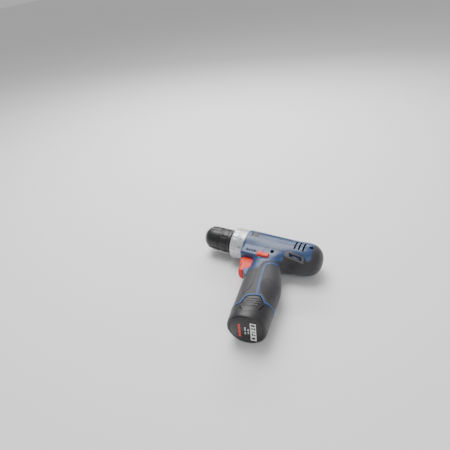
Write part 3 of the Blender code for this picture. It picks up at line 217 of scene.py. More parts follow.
def moulded(name, colour, edge_wear_and_shade, roughness, grain_mm, grain_depth, **more):
    paint, shader, place = start(name, colour, roughness, **more)
    grain = add(paint, "ShaderNodeTexNoise", {"Scale": per_mm(grain_mm), "Detail": 3.0, "Roughness": 0.6},
                {"Vector": place})
    patches = add(paint, "ShaderNodeTexNoise", {"Scale": per_mm(PATCH_MM), "Detail": 4.0, "Roughness": 0.55},
                  {"Vector": place})
    rough = add(paint, "ShaderNodeMapRange",
                {"To Min": roughness - PATCH_SMOOTHER, "To Max": roughness + PATCH_ROUGHER},
                {"Value": patches.outputs["Fac"]})
    # Convex edges take the second colour: rubbed wear on most plastics, painted shade on the silver collar.
    edge = add(paint, "ShaderNodeMapRange",
               {"From Min": EDGE_BEGIN, "From Max": EDGE_FULL, "To Max": EDGE_WEAR_AND_SHADE},
               {"Value": add(paint, "ShaderNodeNewGeometry").outputs["Pointiness"]})
    # Sockets 6 and 7 are the Mix node's two colours, 0 its factor, and output 2 the mixed colour.
    tone = add(paint, "ShaderNodeMix", {"data_type": "RGBA", 6: linear(colour), 7: linear(edge_wear_and_shade)},
               {0: edge.outputs[0]})
    bump = add(paint, "ShaderNodeBump", {"Strength": 0.5, "Distance": grain_depth * MM},
               {"Height": grain.outputs["Fac"]})
    link = paint.node_tree.links.new
    link(tone.outputs[2], shader.inputs["Base Color"])
    link(rough.outputs[0], shader.inputs["Roughness"])
    link(bump.outputs[0], shader.inputs["Normal"])
    return paint


# %% [markdown]
# Now the plastics themselves. Each line gives the name, the colour, the colour of its convex edges
# (rubbed paler, or on the silver painted darker as shade), the roughness, and the grain's size and
# depth in millimetres.

# %% Moulded plastics and rubber
# ABS shell, half glossy: a deep blue on which a soft highlight runs along the barrel.
blue_abs = moulded("moulded_blue_abs", "#2a4166", "#46608a", 0.33, 0.5, 0.05)
# The same ABS, brighter and matt: it reads as a line drawn round the rubber.
line_blue = moulded("moulded_bright_blue_abs", "#284b7e", "#3f6398", 0.55, 0.5, 0.04)
# Rubber moulded over the grip: nearly black, with a dusty sheen and no sharp reflection.
soft_rubber = moulded("moulded_soft_rubber", "#2b2a2d", "#403f42", 0.58, 0.45, 0.09, Sheen_Weight=0.12)
# Grey rubber: one step lighter, so that the frame of the rear slot stands out.
pale_rubber = moulded("moulded_grey_rubber", "#54555a", "#707175", 0.55, 0.45, 0.07)
# Red ABS: a warm and even colour that shows at once what the finger pushes.
red_abs = moulded("moulded_red_abs", "#dc2c14", "#e2543c", 0.42, 0.5, 0.03, Specular_IOR_Level=0.35)
# Nylon of the chuck's sleeve: black, with tight highlights on the edges of its pads.
black_nylon = moulded("moulded_black_nylon", "#1b1b1d", "#333336", 0.38, 0.45, 0.05)
# ABS of the battery: black too, but duller, as a spark-eroded mould leaves it.
deep_black = moulded("moulded_black_abs", "#202022", "#38383a", 0.46, 0.5, 0.06)
# Nylon under aluminium paint: half metal, so broad bright and dark bands lie round the collar. Its
# edge colour is darker: painted shade that draws a dark outline round each pad.
silver_nylon = moulded("silver_painted_nylon", "#c8c9cd", "#9a9b9f", 0.34, 0.3, 0.03, metallic=0.55)
# Plain nylon of the gearbox: ivory and half matt.
white_nylon = moulded("moulded_white_nylon", "#c9c7bd", "#dedcd4", 0.5, 0.5, 0.04)
# PVC film shrunk round a cell: glossy teal with slow waves.
cell_wrap = moulded("cell_shrink_film", "#2c6f80", "#3c8596", 0.3, 1.2, 0.02)
# Glass fibre under green lacquer: the threads show as a faint grain.
board_green = moulded("lacquered_glass_fibre", "#1d5a35", "#2f7a4c", 0.35, 0.6, 0.03)
# Magnets of pressed and fired ferrite: a dry dark grey with hardly any shine.
ferrite = moulded("sintered_ferrite", "#242426", "#39393c", 0.75, 0.6, 0.08)
# Printing ink in three colours: thin and flat, so it takes no highlight from the plastic under it.
ink = moulded("printed_ink", "#0a0a0c", "#161619", 0.7, 0.4, 0.01, Specular_IOR_Level=0.1)
white_ink = moulded("printed_white_ink", "#d9dadc", "#e6e7e8", 0.5, 0.4, 0.01)
red_ink = moulded("printed_red_ink", "#cf2e1d", "#dc4a38", 0.5, 0.4, 0.01)
# Label film under varnish: black like glass, where the light's edge stays sharp.
gloss_label = moulded("varnished_label_film", "#0d0d0f", "#1c1c1f", 0.14, 2.0, 0.01)
print("plastics made:", len(bpy.data.materials))

# %% [markdown]
# Metals are cut, ground or drawn, and each leaves lines of its own. On a turned piece the tool leaves
# fine rings about the axis. A wave texture along X, slightly distorted, draws them in the bump, and a
# noise of scuffs moves the roughness.

# %% Metals
def machined(name, colour, roughness, ring_mm, depth):
    paint, shader, place = start(name, colour, roughness, metallic=1.0)
    rings = add(paint, "ShaderNodeTexWave", {"wave_type": "BANDS", "bands_direction": "X",
                                             "Scale": per_mm(ring_mm) / 6.28,    # a wave is a whole turn long
                                             "Distortion": 1.5, "Detail": 3.0},
                {"Vector": place})
    scuffs = add(paint, "ShaderNodeTexNoise", {"Scale": per_mm(3.0), "Detail": 6.0, "Roughness": 0.7},
                 {"Vector": place})
    rough = add(paint, "ShaderNodeMapRange", {"To Min": roughness - 0.08, "To Max": roughness + 0.16},
                {"Value": scuffs.outputs["Fac"]})
    bump = add(paint, "ShaderNodeBump", {"Strength": 0.35, "Distance": depth * MM},
               {"Height": rings.outputs["Fac"]})
    paint.node_tree.links.new(rough.outputs[0], shader.inputs["Roughness"])
    paint.node_tree.links.new(bump.outputs[0], shader.inputs["Normal"])
    return paint


# Turned steel: bright, with fine rings that draw each highlight out along the turning.
steel = machined("turned_steel", "#b9bcc2", 0.26, 0.25, 0.02)
# Pressed and sintered steel of the gears: darker and duller, because its pores scatter light.
dark_steel = machined("sintered_steel", "#8a8c92", 0.42, 0.4, 0.03)
# Turned brass: the same cut lines in a warm yellow.
brass = machined("turned_brass", "#d2ad62", 0.28, 0.25, 0.02)
# Copper of the windings: the reddest and softest metal in the drill.
copper = machined("drawn_copper", "#c87848", 0.3, 0.35, 0.03)
print("materials made:", len(bpy.data.materials))

# %% [markdown]
# ## The body's smooth shape
# On the real drill the barrel, the grip and the switch housing flow into each other, because they are
# moulded as one shell. Four simple shapes are described by how far a point is outside each. A smooth
# minimum joins them with a fillet. A rough union of the four is remeshed into even squares, and each
# vertex is then moved onto the smooth shape. That gives a clean skin with no hand-placed vertices.

# %% Sizes of the body, in millimetres
BARREL_RADIUS = 26.5
BARREL_FRONT = 24.0
BARREL_REAR = 144.8
DOME_LENGTH = 33.0
DOME_ROUNDNESS = 2.6
REAR_RISE = 3.0
REAR_RISE_START = 100.0
REAR_RISE_LENGTH = 32.0
POD_LOW = (25.0, -36.0)
POD_HIGH = (60.0, -8.0)
POD_HALF_WIDTH = 19.0
POD_ROUNDING = 4.0
GRIP_LEAN = math.radians(9.3)
GRIP_BASE = Vector((90.0, -156.0, 0.0))
GRIP_UP = Vector((-math.sin(GRIP_LEAN), math.cos(GRIP_LEAN), 0.0))
GRIP_ACROSS = Vector((math.cos(GRIP_LEAN), math.sin(GRIP_LEAN), 0.0))
GRIP_TOP = 142.0
# up the grip, front depth, rear depth, half width, squareness
GRIP_ROWS = (
    (-20.0, 20.0, 20.0, 20.0, 2.0), (0.0, 24.6, 24.6, 24.2, 2.0), (1.4, 26.2, 26.2, 25.7, 2.0),
    (4.0, 27.0, 27.0, 26.5, 2.0), (12.0, 27.0, 27.5, 26.5, 2.05), (22.0, 27.0, 28.0, 26.5, 2.1),
    (34.0, 27.0, 28.5, 25.8, 2.15), (46.0, 27.0, 29.4, 24.2, 2.2), (58.0, 27.0, 30.5, 22.9, 2.25),
    (72.0, 27.0, 31.0, 22.2, 2.3), (84.0, 26.6, 29.8, 22.0, 2.3), (96.0, 25.6, 27.0, 21.4, 2.3),
    (108.0, 24.6, 23.6, 20.4, 2.3), (118.0, 24.0, 22.4, 19.6, 2.3), (127.0, 24.0, 26.0, 19.2, 2.3),
    (133.0, 24.0, 33.0, 19.0, 2.3), (142.0, 24.0, 36.0, 18.6, 2.3), (160.0, 24.0, 36.0, 18.6, 2.3))
GUARD = ((62.0, -57.5), (49.5, -57.5), (44.3, -61.0), (43.9, -63.6), (46.8, -70.0), (51.4, -75.6),
         (62.0, -77.0))
GUARD_HALF_WIDTH = 12.2
GUARD_ROUNDING = 1.2
FILLET_GRIP = 11.0
FILLET_POD = 5.0
FILLET_GUARD = 3.0
print("the grip is drawn with", len(GRIP_ROWS), "sections")


# %% [markdown]
# A field tells for any point how far it is outside a shape: more than zero outside, less than zero
# inside. The barrel ends in a dome that is squarer than a ball, the grip's section changes with height
# on a smooth curve through `GRIP_ROWS`, and the switch housing is a box with rounded edges. Numpy
# works out all points at once.

# %% Distance to each simple shape
def smooth_row(table, value):
    """A row of a table of sections at any value of its first column, on a smooth curve."""
    last = len(table) - 2
    index = max(0, min(last, sum(1 for row in table if row[0] <= value) - 1))
    before, begin, end = table[max(index - 1, 0)], table[index], table[index + 1]
    after = table[min(index + 2, len(table) - 1)]
    span = end[0] - begin[0]
    t = (value - begin[0]) / span
    row = []
    for column in range(1, len(begin)):
        rise_in = (end[column] - before[column]) / (end[0] - before[0])
        rise_out = (after[column] - begin[column]) / (after[0] - begin[0])
        weights = (2 * t ** 3 - 3 * t ** 2 + 1, t ** 3 - 2 * t ** 2 + t,
                   -2 * t ** 3 + 3 * t ** 2, t ** 3 - t ** 2)
        row.append(weights[0] * begin[column] + weights[1] * span * rise_in
                   + weights[2] * end[column] + weights[3] * span * rise_out)
    return row


UPS = np.linspace(-20.0, 160.0, 361)
SECTIONS = np.array([smooth_row(GRIP_ROWS, up) for up in UPS])


def barrel_field(x, y, z):
    t = np.clip((x - REAR_RISE_START) / REAR_RISE_LENGTH, 0, 1)
    round_distance = np.hypot(y - REAR_RISE * t * t * (3 - 2 * t), z)
    reach = np.maximum(0.0, x - (BARREL_REAR - DOME_LENGTH)) / DOME_LENGTH
    size = (reach ** DOME_ROUNDNESS + (round_distance / BARREL_RADIUS) ** DOME_ROUNDNESS)
    return (size ** (1 / DOME_ROUNDNESS) - 1) * BARREL_RADIUS


def grip_field(x, y, z):
    across = (x - GRIP_BASE.x) * GRIP_ACROSS.x + (y - GRIP_BASE.y) * GRIP_ACROSS.y
    up = (x - GRIP_BASE.x) * GRIP_UP.x + (y - GRIP_BASE.y) * GRIP_UP.y
    front, rear, half_width, squareness = [np.interp(up, UPS, SECTIONS[:, k]) for k in range(4)]
    half_depth = (front + rear) / 2
    u = np.abs(across - (rear - front) / 2) / half_depth
    v = np.abs(z) / half_width
    size = (u ** squareness + v ** squareness + 1e-9) ** (1 / squareness)
    return np.maximum((size - 1) * np.minimum(half_depth, half_width), up - GRIP_TOP)


def pod_field(x, y, z):
    middle = ((POD_LOW[0] + POD_HIGH[0]) / 2, (POD_LOW[1] + POD_HIGH[1]) / 2)
    away = [np.abs(x - middle[0]) - (POD_HIGH[0] - POD_LOW[0]) / 2 + POD_ROUNDING,
            np.abs(y - middle[1]) - (POD_HIGH[1] - POD_LOW[1]) / 2 + POD_ROUNDING,
            np.abs(z) - POD_HALF_WIDTH + POD_ROUNDING]
    outside = np.sqrt(sum(np.maximum(a, 0) ** 2 for a in away))
    return outside + np.minimum(np.maximum.reduce(away), 0) - POD_ROUNDING


def guard_field(x, y, z):
    """The web below the trigger: inside all of its outline's edges, and between its two sides."""
    edges = zip(GUARD, GUARD[1:] + GUARD[:1])
    around = np.maximum.reduce([((x - ax) * (by - ay) - (y - ay) * (bx - ax)) / math.hypot(bx - ax, by - ay)
                                for (ax, ay), (bx, by) in edges]) + GUARD_ROUNDING
    across = np.abs(z) - GUARD_HALF_WIDTH + GUARD_ROUNDING
    outside = np.hypot(np.maximum(around, 0), np.maximum(across, 0))
    return outside + np.minimum(np.maximum(around, across), 0) - GUARD_ROUNDING


def smooth_min(a, b, fillet):
    overlap = np.maximum(fillet - np.abs(a - b), 0) / fillet
    return np.minimum(a, b) - overlap ** 2 * fillet / 4


def body_field(x, y, z):
    whole = smooth_min(barrel_field(x, y, z), grip_field(x, y, z), FILLET_GRIP)
    whole = smooth_min(whole, pod_field(x, y, z), FILLET_POD)
    return smooth_min(whole, guard_field(x, y, z), FILLET_GUARD)


probe = np.array([[80.0, BARREL_RADIUS + 1.0, 0.0]])
print("1 mm above the barrel the field is", round(float(body_field(*probe.T)[0]), 2))


# %% [markdown]
# A vertex near the surface reaches it in a few steps along the field's slope. With an inset, the same
# steps stop inside the surface, and so give a wall that is equally thick everywhere.

# %% Move points onto the smooth shape
def settle_points(points, inset=0.0, rounds=5):
    """Each point is moved along the field's slope until it is `inset` inside the surface."""
    step = 0.02
    for _ in range(rounds):
        x, y, z = points.T
        value = body_field(x, y, z)
        slope = np.stack([body_field(x + step, y, z) - body_field(x - step, y, z),
                          body_field(x, y + step, z) - body_field(x, y - step, z),
                          body_field(x, y, z + step) - body_field(x, y, z - step)], axis=1) / (2 * step)
        steep = (slope ** 2).sum(axis=1)
        points = points - slope * ((value + inset * np.sqrt(steep)) / np.maximum(steep, 1e-6))[:, None]
    return points


def read_points(mesh):
    flat = np.empty(len(mesh.vertices) * 3)
    mesh.vertices.foreach_get("co", flat)
    return flat.reshape(-1, 3)


def write_points(mesh, points):
    mesh.vertices.foreach_set("co", points.reshape(-1))
    mesh.update()


print("that point settles at", settle_points(probe).round(2)[0])


# %% [markdown]
# The rough union only has to be near the real shape. Each part is a stack of circles made with
# `create_circle`, reshaped, and joined by `bridge_loops`. All faces are made triangles, because
# a Boolean wants faces that are flat.

# %% Stacks of rings
def stacked(name, rings):
    """Closed tube through rings of points; every ring starts as a circle."""
    work = bmesh.new()
    loops = []
    for points in rings:
        made = bmesh.ops.create_circle(work, segments=len(points), radius=1.0)["verts"]
        for vertex, point in zip(made, points):
            vertex.co = point
        loops.append({edge for vertex in made for edge in vertex.link_edges})
    for near, far in zip(loops, loops[1:]):
        bmesh.ops.bridge_loops(work, edges=list(near | far))
    bmesh.ops.holes_fill(work, edges=[edge for edge in work.edges if edge.is_boundary])
    bmesh.ops.triangulate(work, faces=work.faces)
    return to_object(work, name)


def barrel_stack(name, rows, sides=48):
    """Circles about the barrel's axis; each row is place along X, rise, radius."""
    angles = [WHOLE_TURN * i / sides for i in range(sides)]
    return stacked(name, [[Vector((x, rise + radius * math.cos(a), radius * math.sin(a))) for a in angles]
                          for x, rise, radius in rows])


def grip_points(up, inset=0.0, sides=48):
    front, rear, half_width, _ = smooth_row(GRIP_ROWS, up)
    ring = []
    for i in range(sides):
        angle = WHOLE_TURN * i / sides
        across = (rear - front) / 2 + ((front + rear) / 2 - inset) * math.cos(angle)
        ring.append(GRIP_BASE + GRIP_ACROSS * across + GRIP_UP * up
                    + Vector((0, 0, (half_width - inset) * math.sin(angle))))
    return ring


def box(low, high):
    work = bmesh.new()
    low, high = Vector(low), Vector(high)
    middle, size = (low + high) / 2, high - low
    bmesh.ops.create_cube(work, size=1.0, matrix=Matrix.Translation(middle) @ Matrix.Diagonal((*size, 1)))
    return to_object(work, "box")


def rod(begin, end, radius, sides=32):
    begin, end = Vector(begin), Vector(end)
    along = end - begin
    turn = Vector((0, 0, 1)).rotation_difference(along).to_matrix().to_4x4()
    work = bmesh.new()
    bmesh.ops.create_cone(work, cap_ends=True, segments=sides, radius1=radius, radius2=radius,
                          depth=along.length, matrix=Matrix.Translation((begin + end) / 2) @ turn)
    return to_object(work, "rod")


# %% [markdown]
# A voxel Remesh modifier merges the parts into one skin of even squares, and `settle_points` brings
# the skin onto the smooth shape. The flat mouth at the front and the end below the grip stay put: they
# are cut off later. `shifted` repeats the skin further in or out.

# %% Rough body, remeshed and settled
SKIN_SQUARE = 1.1                        # size of the skin's squares
ROUGH_BARREL = ((10, 0, 26.5), (105, 0, 26.5), (120, 2, 26), (134, 3, 20), (143, 3, 9))
MOUTH, GRIP_END = 14.0, -10.0            # the skin stays put before and below these


def rough_body():
    barrel = barrel_stack("rough_body", ROUGH_BARREL)
    combine(barrel, stacked("rough_grip", [grip_points(up) for up in range(-16, 141, 12)]), "UNION")
    combine(barrel, box((*POD_LOW, -POD_HALF_WIDTH), (*POD_HIGH, POD_HALF_WIDTH)), "UNION")
    sides = [[Vector((x, y, z)) for x, y in GUARD] for z in (-GUARD_HALF_WIDTH, GUARD_HALF_WIDTH)]
    return combine(barrel, stacked("rough_guard", sides), "UNION")


def settled(item, inset, rounds):
    points = read_points(item.data)
    up = (points[:, 0] - GRIP_BASE.x) * GRIP_UP.x + (points[:, 1] - GRIP_BASE.y) * GRIP_UP.y
    moves = (points[:, 0] >= MOUTH) & (up >= GRIP_END)
    moved = settle_points(points, inset, rounds)
    write_points(item.data, np.where(moves[:, None], moved, points))
    return item


def body_skin(name):
    skin = rough_body()
    skin.name = name
    remesh = skin.modifiers.new("even", "REMESH")
    remesh.mode = "VOXEL"
    remesh.voxel_size = SKIN_SQUARE
    return settled(applied(skin), 0.0, 5)


def shifted(item, name, inset):
    """A copy of a skin, moved inwards everywhere."""
    return settled(duplicate(item, name), inset, 3)


body = body_skin("body")
print("body skin:", len(body.data.polygons), "squares")

# %% [markdown]
# The shells are cut along outlines drawn from the side, in the same way as the mould's own split
# lines. Each outline below is a list of X and Y, except the notch, the button and the crease, which
# are measured across and up the leaning grip.

# %% Outlines
FAR = 60.0                               # further out than any surface
GAP = 0.3                                # room between pieces that touch
RIM_MIDDLE, RIM_SLOPE = 28.0, 0.25
RIM_STRIP = 2.3
PIPING_WIDTH = 2.7
LINE_RAISE = 0.35                        # how far the blue lines stand out of the shell
NOTCH = ((-12.5, 24.9), (-9.8, 34.5), (-6.5, 38.8), (9.0, 42.6), (13.2, 38.2), (16.8, 32.2))
PIPING = ((87.2, -112.6), (86.2, -108.0), (82.6, -94.0), (78.8, -78.0), (75.0, -56.0), (75.4, -50.5),
          (78.6, -46.0), (90.0, -38.6))
COVER_EDGE = ((40.0, -80.5), (52.0, -78.0), (54.6, -70.0), (57.6, -65.6), (65.0, -62.6), (68.4, -58.6),
              (68.6, -48.4), (70.6, -44.4), (77.0, -40.4), (92.6, -30.4), (92.4, -19.0), (96.0, -13.6),
              (119.6, -14.2), (127.0, -19.4), (132.6, -12.6), (130.2, -8.0), (129.8, 40.0))
BAND = ((26.5, -9.0), (42.0, -6.0), (93.0, -6.4), (99.0, -11.0), (96.4, -16.6), (26.5, -17.2))
PANEL = ((43.0, 9.6), (47.0, -5.2), (95.4, -5.6), (99.6, 0.0), (94.0, 10.6))
REAR_SLOT = ((98.0, -16.2), (118.0, -16.4), (118.6, -20.0), (101.0, -20.6))
BUTTON = ((-9.0, 34.0), (-6.0, 38.0), (8.6, 41.6), (12.4, 37.6), (15.4, 30.6), (12.2, 21.0), (-5.4, 18.0),
          (-11.0, 24.4))
CREASE = ((-6.6, 92.0), (-6.4, 76.0), (-6.4, 62.0), (-8.6, 53.0), (-15.0, 44.0))
RIB_PATCH = ((81.0, -85.0), (88.2, -77.6), (118.0, -79.0), (124.0, -95.0), (124.0, -122.0), (104.5, -114.0),
             (89.8, -105.5))
print("outline points:", sum(map(len, (NOTCH, PIPING, COVER_EDGE, BAND, PANEL, REAR_SLOT, BUTTON))))

# %% [markdown]
# `prism` gives an outline thickness. `outline_offset` moves it outwards, so one outline can serve both
# the rubber cover and the bed that it lies in. `rounded` turns corners into arcs, and `stroke` draws
# a line of some width along a path.

# %% Outline helpers
def prism(name, outline, low=-FAR, high=FAR):
    work = bmesh.new()
    lift_outline(work, outline, low, high)
    return to_object(work, name)


def lift_outline(work, outline, low, high):
    """A filled circle takes the outline's shape and is extruded."""
    ring = bmesh.ops.create_circle(work, cap_ends=True, segments=len(outline), radius=1.0)["verts"]
    for vertex, (x, y) in zip(ring, outline):
        vertex.co = (x, y, low)
    lifted = bmesh.ops.extrude_face_region(work, geom=ring[0].link_faces[:])["geom"]
    top = [item for item in lifted if isinstance(item, bmesh.types.BMVert)]
    bmesh.ops.translate(work, verts=top, vec=(0, 0, high - low))


def outline_offset(outline, distance):
    points = [Vector(point) for point in outline]
    area = sum(a.x * b.y - b.x * a.y for a, b in zip(points, points[1:] + points[:1]))
    sign = 1.0 if area > 0 else -1.0
    moved = []
    for i, point in enumerate(points):
        before = (point - points[i - 1]).normalized()
        after = (points[(i + 1) % len(points)] - point).normalized()
        first, second = [Vector((d.y, -d.x)) * sign for d in (before, after)]
        middle = (first + second).normalized()
        moved.append(tuple(point + middle * (distance / max(0.35, middle.dot(first)))))
    return moved


def arc(begin, corner, end, t):
    return tuple(begin * (1 - t) ** 2 + corner * 2 * t * (1 - t) + end * t * t)


def rounded(outline, radius, steps=4):
    """A closed outline with its corners turned into arcs."""
    points = [Vector(point) for point in outline]
    result = []
    for i, corner in enumerate(points):
        before, after = points[i - 1] - corner, points[(i + 1) % len(points)] - corner
        reach = min(radius, before.length * 0.45, after.length * 0.45)
        begin, end = corner + before.normalized() * reach, corner + after.normalized() * reach
        result += [arc(begin, corner, end, k / steps) for k in range(steps + 1)]
    return result


def rounded_run(run):
    """An open run of points with its inner corners rounded."""
    points = [Vector(point) for point in run]
    result = [tuple(points[0])]
    for before, corner, after in zip(points, points[1:], points[2:]):
        begin, end = corner.lerp(before, 0.4), corner.lerp(after, 0.4)
        result += [arc(begin, corner, end, t) for t in (0.0, 0.33, 0.67, 1.0)]
    return result + [tuple(points[-1])]


def stroke(path, width):
    points = [Vector(point) for point in path]
    left, right = [], []
    for i, point in enumerate(points):
        along = (points[min(i + 1, len(points) - 1)] - points[max(i - 1, 0)]).normalized()
        side = Vector((-along.y, along.x)) * (width / 2)
        left.append(tuple(point + side))
        right.append(tuple(point - side))
    return left + right[::-1]


def rectangle(middle, half_x, half_y):
    return [(middle[0] + a * half_x, middle[1] + b * half_y)
            for a, b in ((-1, -1), (1, -1), (1, 1), (-1, 1))]


def pill(x, y, width, height, low, high, steps=5):
    """A slot with rounded ends, standing up in Y."""
    corner = width / 2
    outline = []
    for side, begin in ((1, 0.0), (-1, math.pi)):
        for k in range(steps + 1):
            angle = begin + math.pi * k / steps
            outline.append((x + corner * math.cos(angle), y + side * (height / 2 - corner)
                            + corner * math.sin(angle)))
    return prism("pill", outline, low, high)


print("a square with rounded corners has", len(rounded(rectangle((0, 0), 5, 5), 1)), "points")


# %% [markdown]
# The grip leans, so what belongs to it is drawn across and up the grip, and `on_grip` turns that into
# X and Y. The rim, where grip and battery meet, is a slanting line with a notch over the button.

# %% Outlines on the grip, and the region of the rubber
RIM_LEFT, RIM_RIGHT, RIM_FOOT = -40.0, 45.0, -50.0


def on_grip(outline):
    return [tuple((GRIP_BASE + GRIP_ACROSS * a + GRIP_UP * b).to_2d()) for a, b in outline]


def rim_outline(lift=0.0):
    return outline_offset(on_grip([(RIM_LEFT, RIM_MIDDLE + RIM_SLOPE * RIM_LEFT), *rounded_run(NOTCH),
                                   (RIM_RIGHT, RIM_MIDDLE + RIM_SLOPE * RIM_RIGHT),
                                   (RIM_RIGHT, RIM_FOOT), (RIM_LEFT, RIM_FOOT)]), lift)


def cover_region(name, grow):
    """Where rubber lies, seen from the side; the rim's strip and the piping are left free."""
    outline = outline_offset(rounded_run(COVER_EDGE) + [(160.0, 40.0), (160.0, -185.0), (15.0, -185.0),
                                                        (15.0, -80.5)], grow)
    region = prism(name, outline)
    combine(region, prism("rim", rim_outline(RIM_STRIP - grow), -2 * FAR, 2 * FAR))
    return combine(region, prism("piping", stroke(rounded_run(PIPING), PIPING_WIDTH - 2 * grow),
                                 -2 * FAR, 2 * FAR))


print("the rim's outline has", len(rim_outline()), "points")


# %% [markdown]
# ## Rubber cover and blue shell
# Only the left half is cut. The right one is its mirror image, because a split mould makes them as a
# pair; the screw holes, which differ, are drilled afterwards. The skin, the cover's underside and the
# bed below it are three copies of one surface at three depths.

# %% Sizes on the shell
WALL = 2.9
SKIN = 1.4                               # thickness of the rubber
CORE = 1.0                               # a raised piece reaches this far under the skin
BED_LOW, BAND_LOW = -4.0, 6.0            # cutters begin this far out from the middle plane
PANEL_DEPTH = 0.5
BAND_RAISE = 0.5
TRIGGER_SLOT = ((27.6, -64.6, -9.8), (61.3, -35.0, 9.8))
LEVER = (62.4, -31.8)
LEVER_SIZE = (18.5, 7.4)
VENTS = (103.6, 110.1, 116.6)
VENT_SIZE = (2.6, 18.0)
BADGE = (37.0, 2.0)
BADGE_SIZE = 11.0
BADGE_SEAT = 24.9
ROOM_BARREL = ((17, 0, 23.5), (105, 0, 23.5), (118, 1.8, 22.4), (130, 2.8, 18), (138, 3, 10))
ROOM_SWITCH = ((28.5, -32.5, -15.8), (57, -8, 15.8))
print("rubber", SKIN, "mm on a wall of", WALL, "mm")

# %% [markdown]
# The half skin is first emptied, then cut from the outside: bed, rim, panel, mouth, trigger slot,
# switch window, vents, rear slot and the badge's seat. A long run of Booleans can leave hair cracks,
# so `closed` welds them at the end.

# %% Left shell
def keep_side(item, low):
    """Cuts off what lies right of a height in Z, and closes the cut."""
    work = opened(item)
    everything = list(work.verts) + list(work.edges) + list(work.faces)
    bmesh.ops.bisect_plane(work, geom=everything, dist=1e-5, plane_co=(0, 0, low), plane_no=(0, 0, -1),
                           clear_outer=True)
    bmesh.ops.holes_fill(work, edges=[edge for edge in work.edges if edge.is_boundary])
    bmesh.ops.triangulate(work, faces=work.faces)
    bmesh.ops.recalc_face_normals(work, faces=work.faces)
    return put_back(work, item)


def hollow():
    """The room inside the shell, for the motor, the gears and the battery's tower."""
    room = barrel_stack("hollow", ROOM_BARREL)
    combine(room, stacked("grip_room", [grip_points(up, WALL) for up in range(3, 136, 8)]), "UNION")
    return combine(room, box(*ROOM_SWITCH), "UNION")


def closed(item):
    """Welds the hair cracks that a Boolean can leave, and fills what is still open."""
    work = opened(item)
    bmesh.ops.remove_doubles(work, verts=work.verts, dist=1e-4)
    bmesh.ops.dissolve_degenerate(work, edges=work.edges, dist=1e-4)
    bmesh.ops.holes_fill(work, edges=[edge for edge in work.edges if edge.is_boundary])
    return put_back(work, item)


def half_shell():
    shell = combine(keep_side(duplicate(body, "shell"), GAP / 2), hollow())
    raised = keep_side(shifted(body, "raised", -BAND_RAISE), BAND_LOW)
    combine(raised, prism("band", rounded(BAND, 1.2)), "INTERSECT")
    combine(raised, shifted(body, "under_band", CORE))
    combine(shell, raised, "UNION")
    bed = cover_region("bed", GAP)
    combine(bed, keep_side(shifted(body, "under_bed", SKIN + GAP), BED_LOW))
    combine(shell, bed)
    combine(shell, prism("below_rim", rim_outline()))
    panel = prism("panel", rounded(PANEL, 2.0))
    combine(panel, keep_side(shifted(body, "panel_floor", PANEL_DEPTH), BED_LOW))
    combine(shell, panel)
    combine(shell, box((-50, -60, -FAR), (BARREL_FRONT, 60, FAR)))
    combine(shell, box(*TRIGGER_SLOT))
    window = rectangle(LEVER, LEVER_SIZE[0] / 2 + GAP, LEVER_SIZE[1] / 2 + GAP)
    combine(shell, prism("window", rounded(window, 1.2)))
    for x in VENTS:
        combine(shell, pill(x, 0.0, *VENT_SIZE, -FAR, FAR))
    combine(shell, prism("rear_slot", rounded(REAR_SLOT, 1.2)))
    half = BADGE_SIZE / 2 + GAP
    return closed(combine(shell, prism("seat", rounded(rectangle(BADGE, half, half), 1.6), BADGE_SEAT, FAR)))


shell_left = half_shell()
print("left shell:", len(shell_left.data.polygons), "faces")

# %% [markdown]
# The rubber is the layer between two skins, kept inside its outline. Its ribs are what stays standing
# between curved grooves. A groove's floor is the skin again, a little further in, so every groove is
# equally deep on the round grip.

# %% Left rubber cover
RIB_MIDDLE = (76.0, -84.5)
RIB_FIRST, RIB_PITCH, RIB_COUNT = 9.0, 1.65, 25
RIB_GROOVE, RIB_DEPTH = 0.7, 0.4
RIB_TURN, RIB_SWEEP, RIB_STEPS = -125, 155, 24      # degrees
REAR_LINES_AT = (134.6, 138.4)                      # fine lines round the rear cap
REAR_LINE_WIDTH, REAR_LINE_DEPTH = 0.7, 0.45
CREASE_WIDTH, CREASE_DEPTH = 0.9, 0.5


def rib_grooves():
    work = bmesh.new()
    for i in range(RIB_COUNT):
        radius = RIB_FIRST + RIB_PITCH * i
        turns = [math.radians(RIB_TURN + RIB_SWEEP * k / RIB_STEPS) for k in range(RIB_STEPS + 1)]
        path = [(RIB_MIDDLE[0] + radius * math.cos(a), RIB_MIDDLE[1] + radius * math.sin(a)) for a in turns]
        lift_outline(work, stroke(path, RIB_GROOVE), 3.0, FAR)
    grooves = to_object(work, "rib_grooves")
    combine(grooves, prism("patch", rounded(RIB_PATCH, 3.0), 2.0, FAR + 1), "INTERSECT")
    return combine(grooves, shifted(body, "rib_floor", RIB_DEPTH))


def half_cover():
    cover = keep_side(duplicate(body, "cover"), GAP / 2)
    combine(cover, shifted(body, "underside", SKIN))
    combine(cover, cover_region("cover_region", 0.0), "INTERSECT")
    combine(cover, prism("rear_slot", rounded(outline_offset(REAR_SLOT, 0.6), 1.4)))
    for x in REAR_LINES_AT:
        groove = box((x, -40, -FAR), (x + REAR_LINE_WIDTH, 40, FAR))
        combine(cover, combine(groove, shifted(body, "floor", REAR_LINE_DEPTH)))
    crease = prism("crease", stroke(on_grip(rounded_run(CREASE)), CREASE_WIDTH))
    combine(cover, combine(crease, shifted(body, "floor", CREASE_DEPTH)))
    return combine(cover, rib_grooves())


cover_left = half_cover()
print("left cover:", len(cover_left.data.polygons), "faces")

# %% [markdown]
# The blue lines that frame the rubber are pieces of their own, a hair higher than the skin. They sink
# into the shell, so no gap shows. Then everything is mirrored, and the screw holes are drilled.

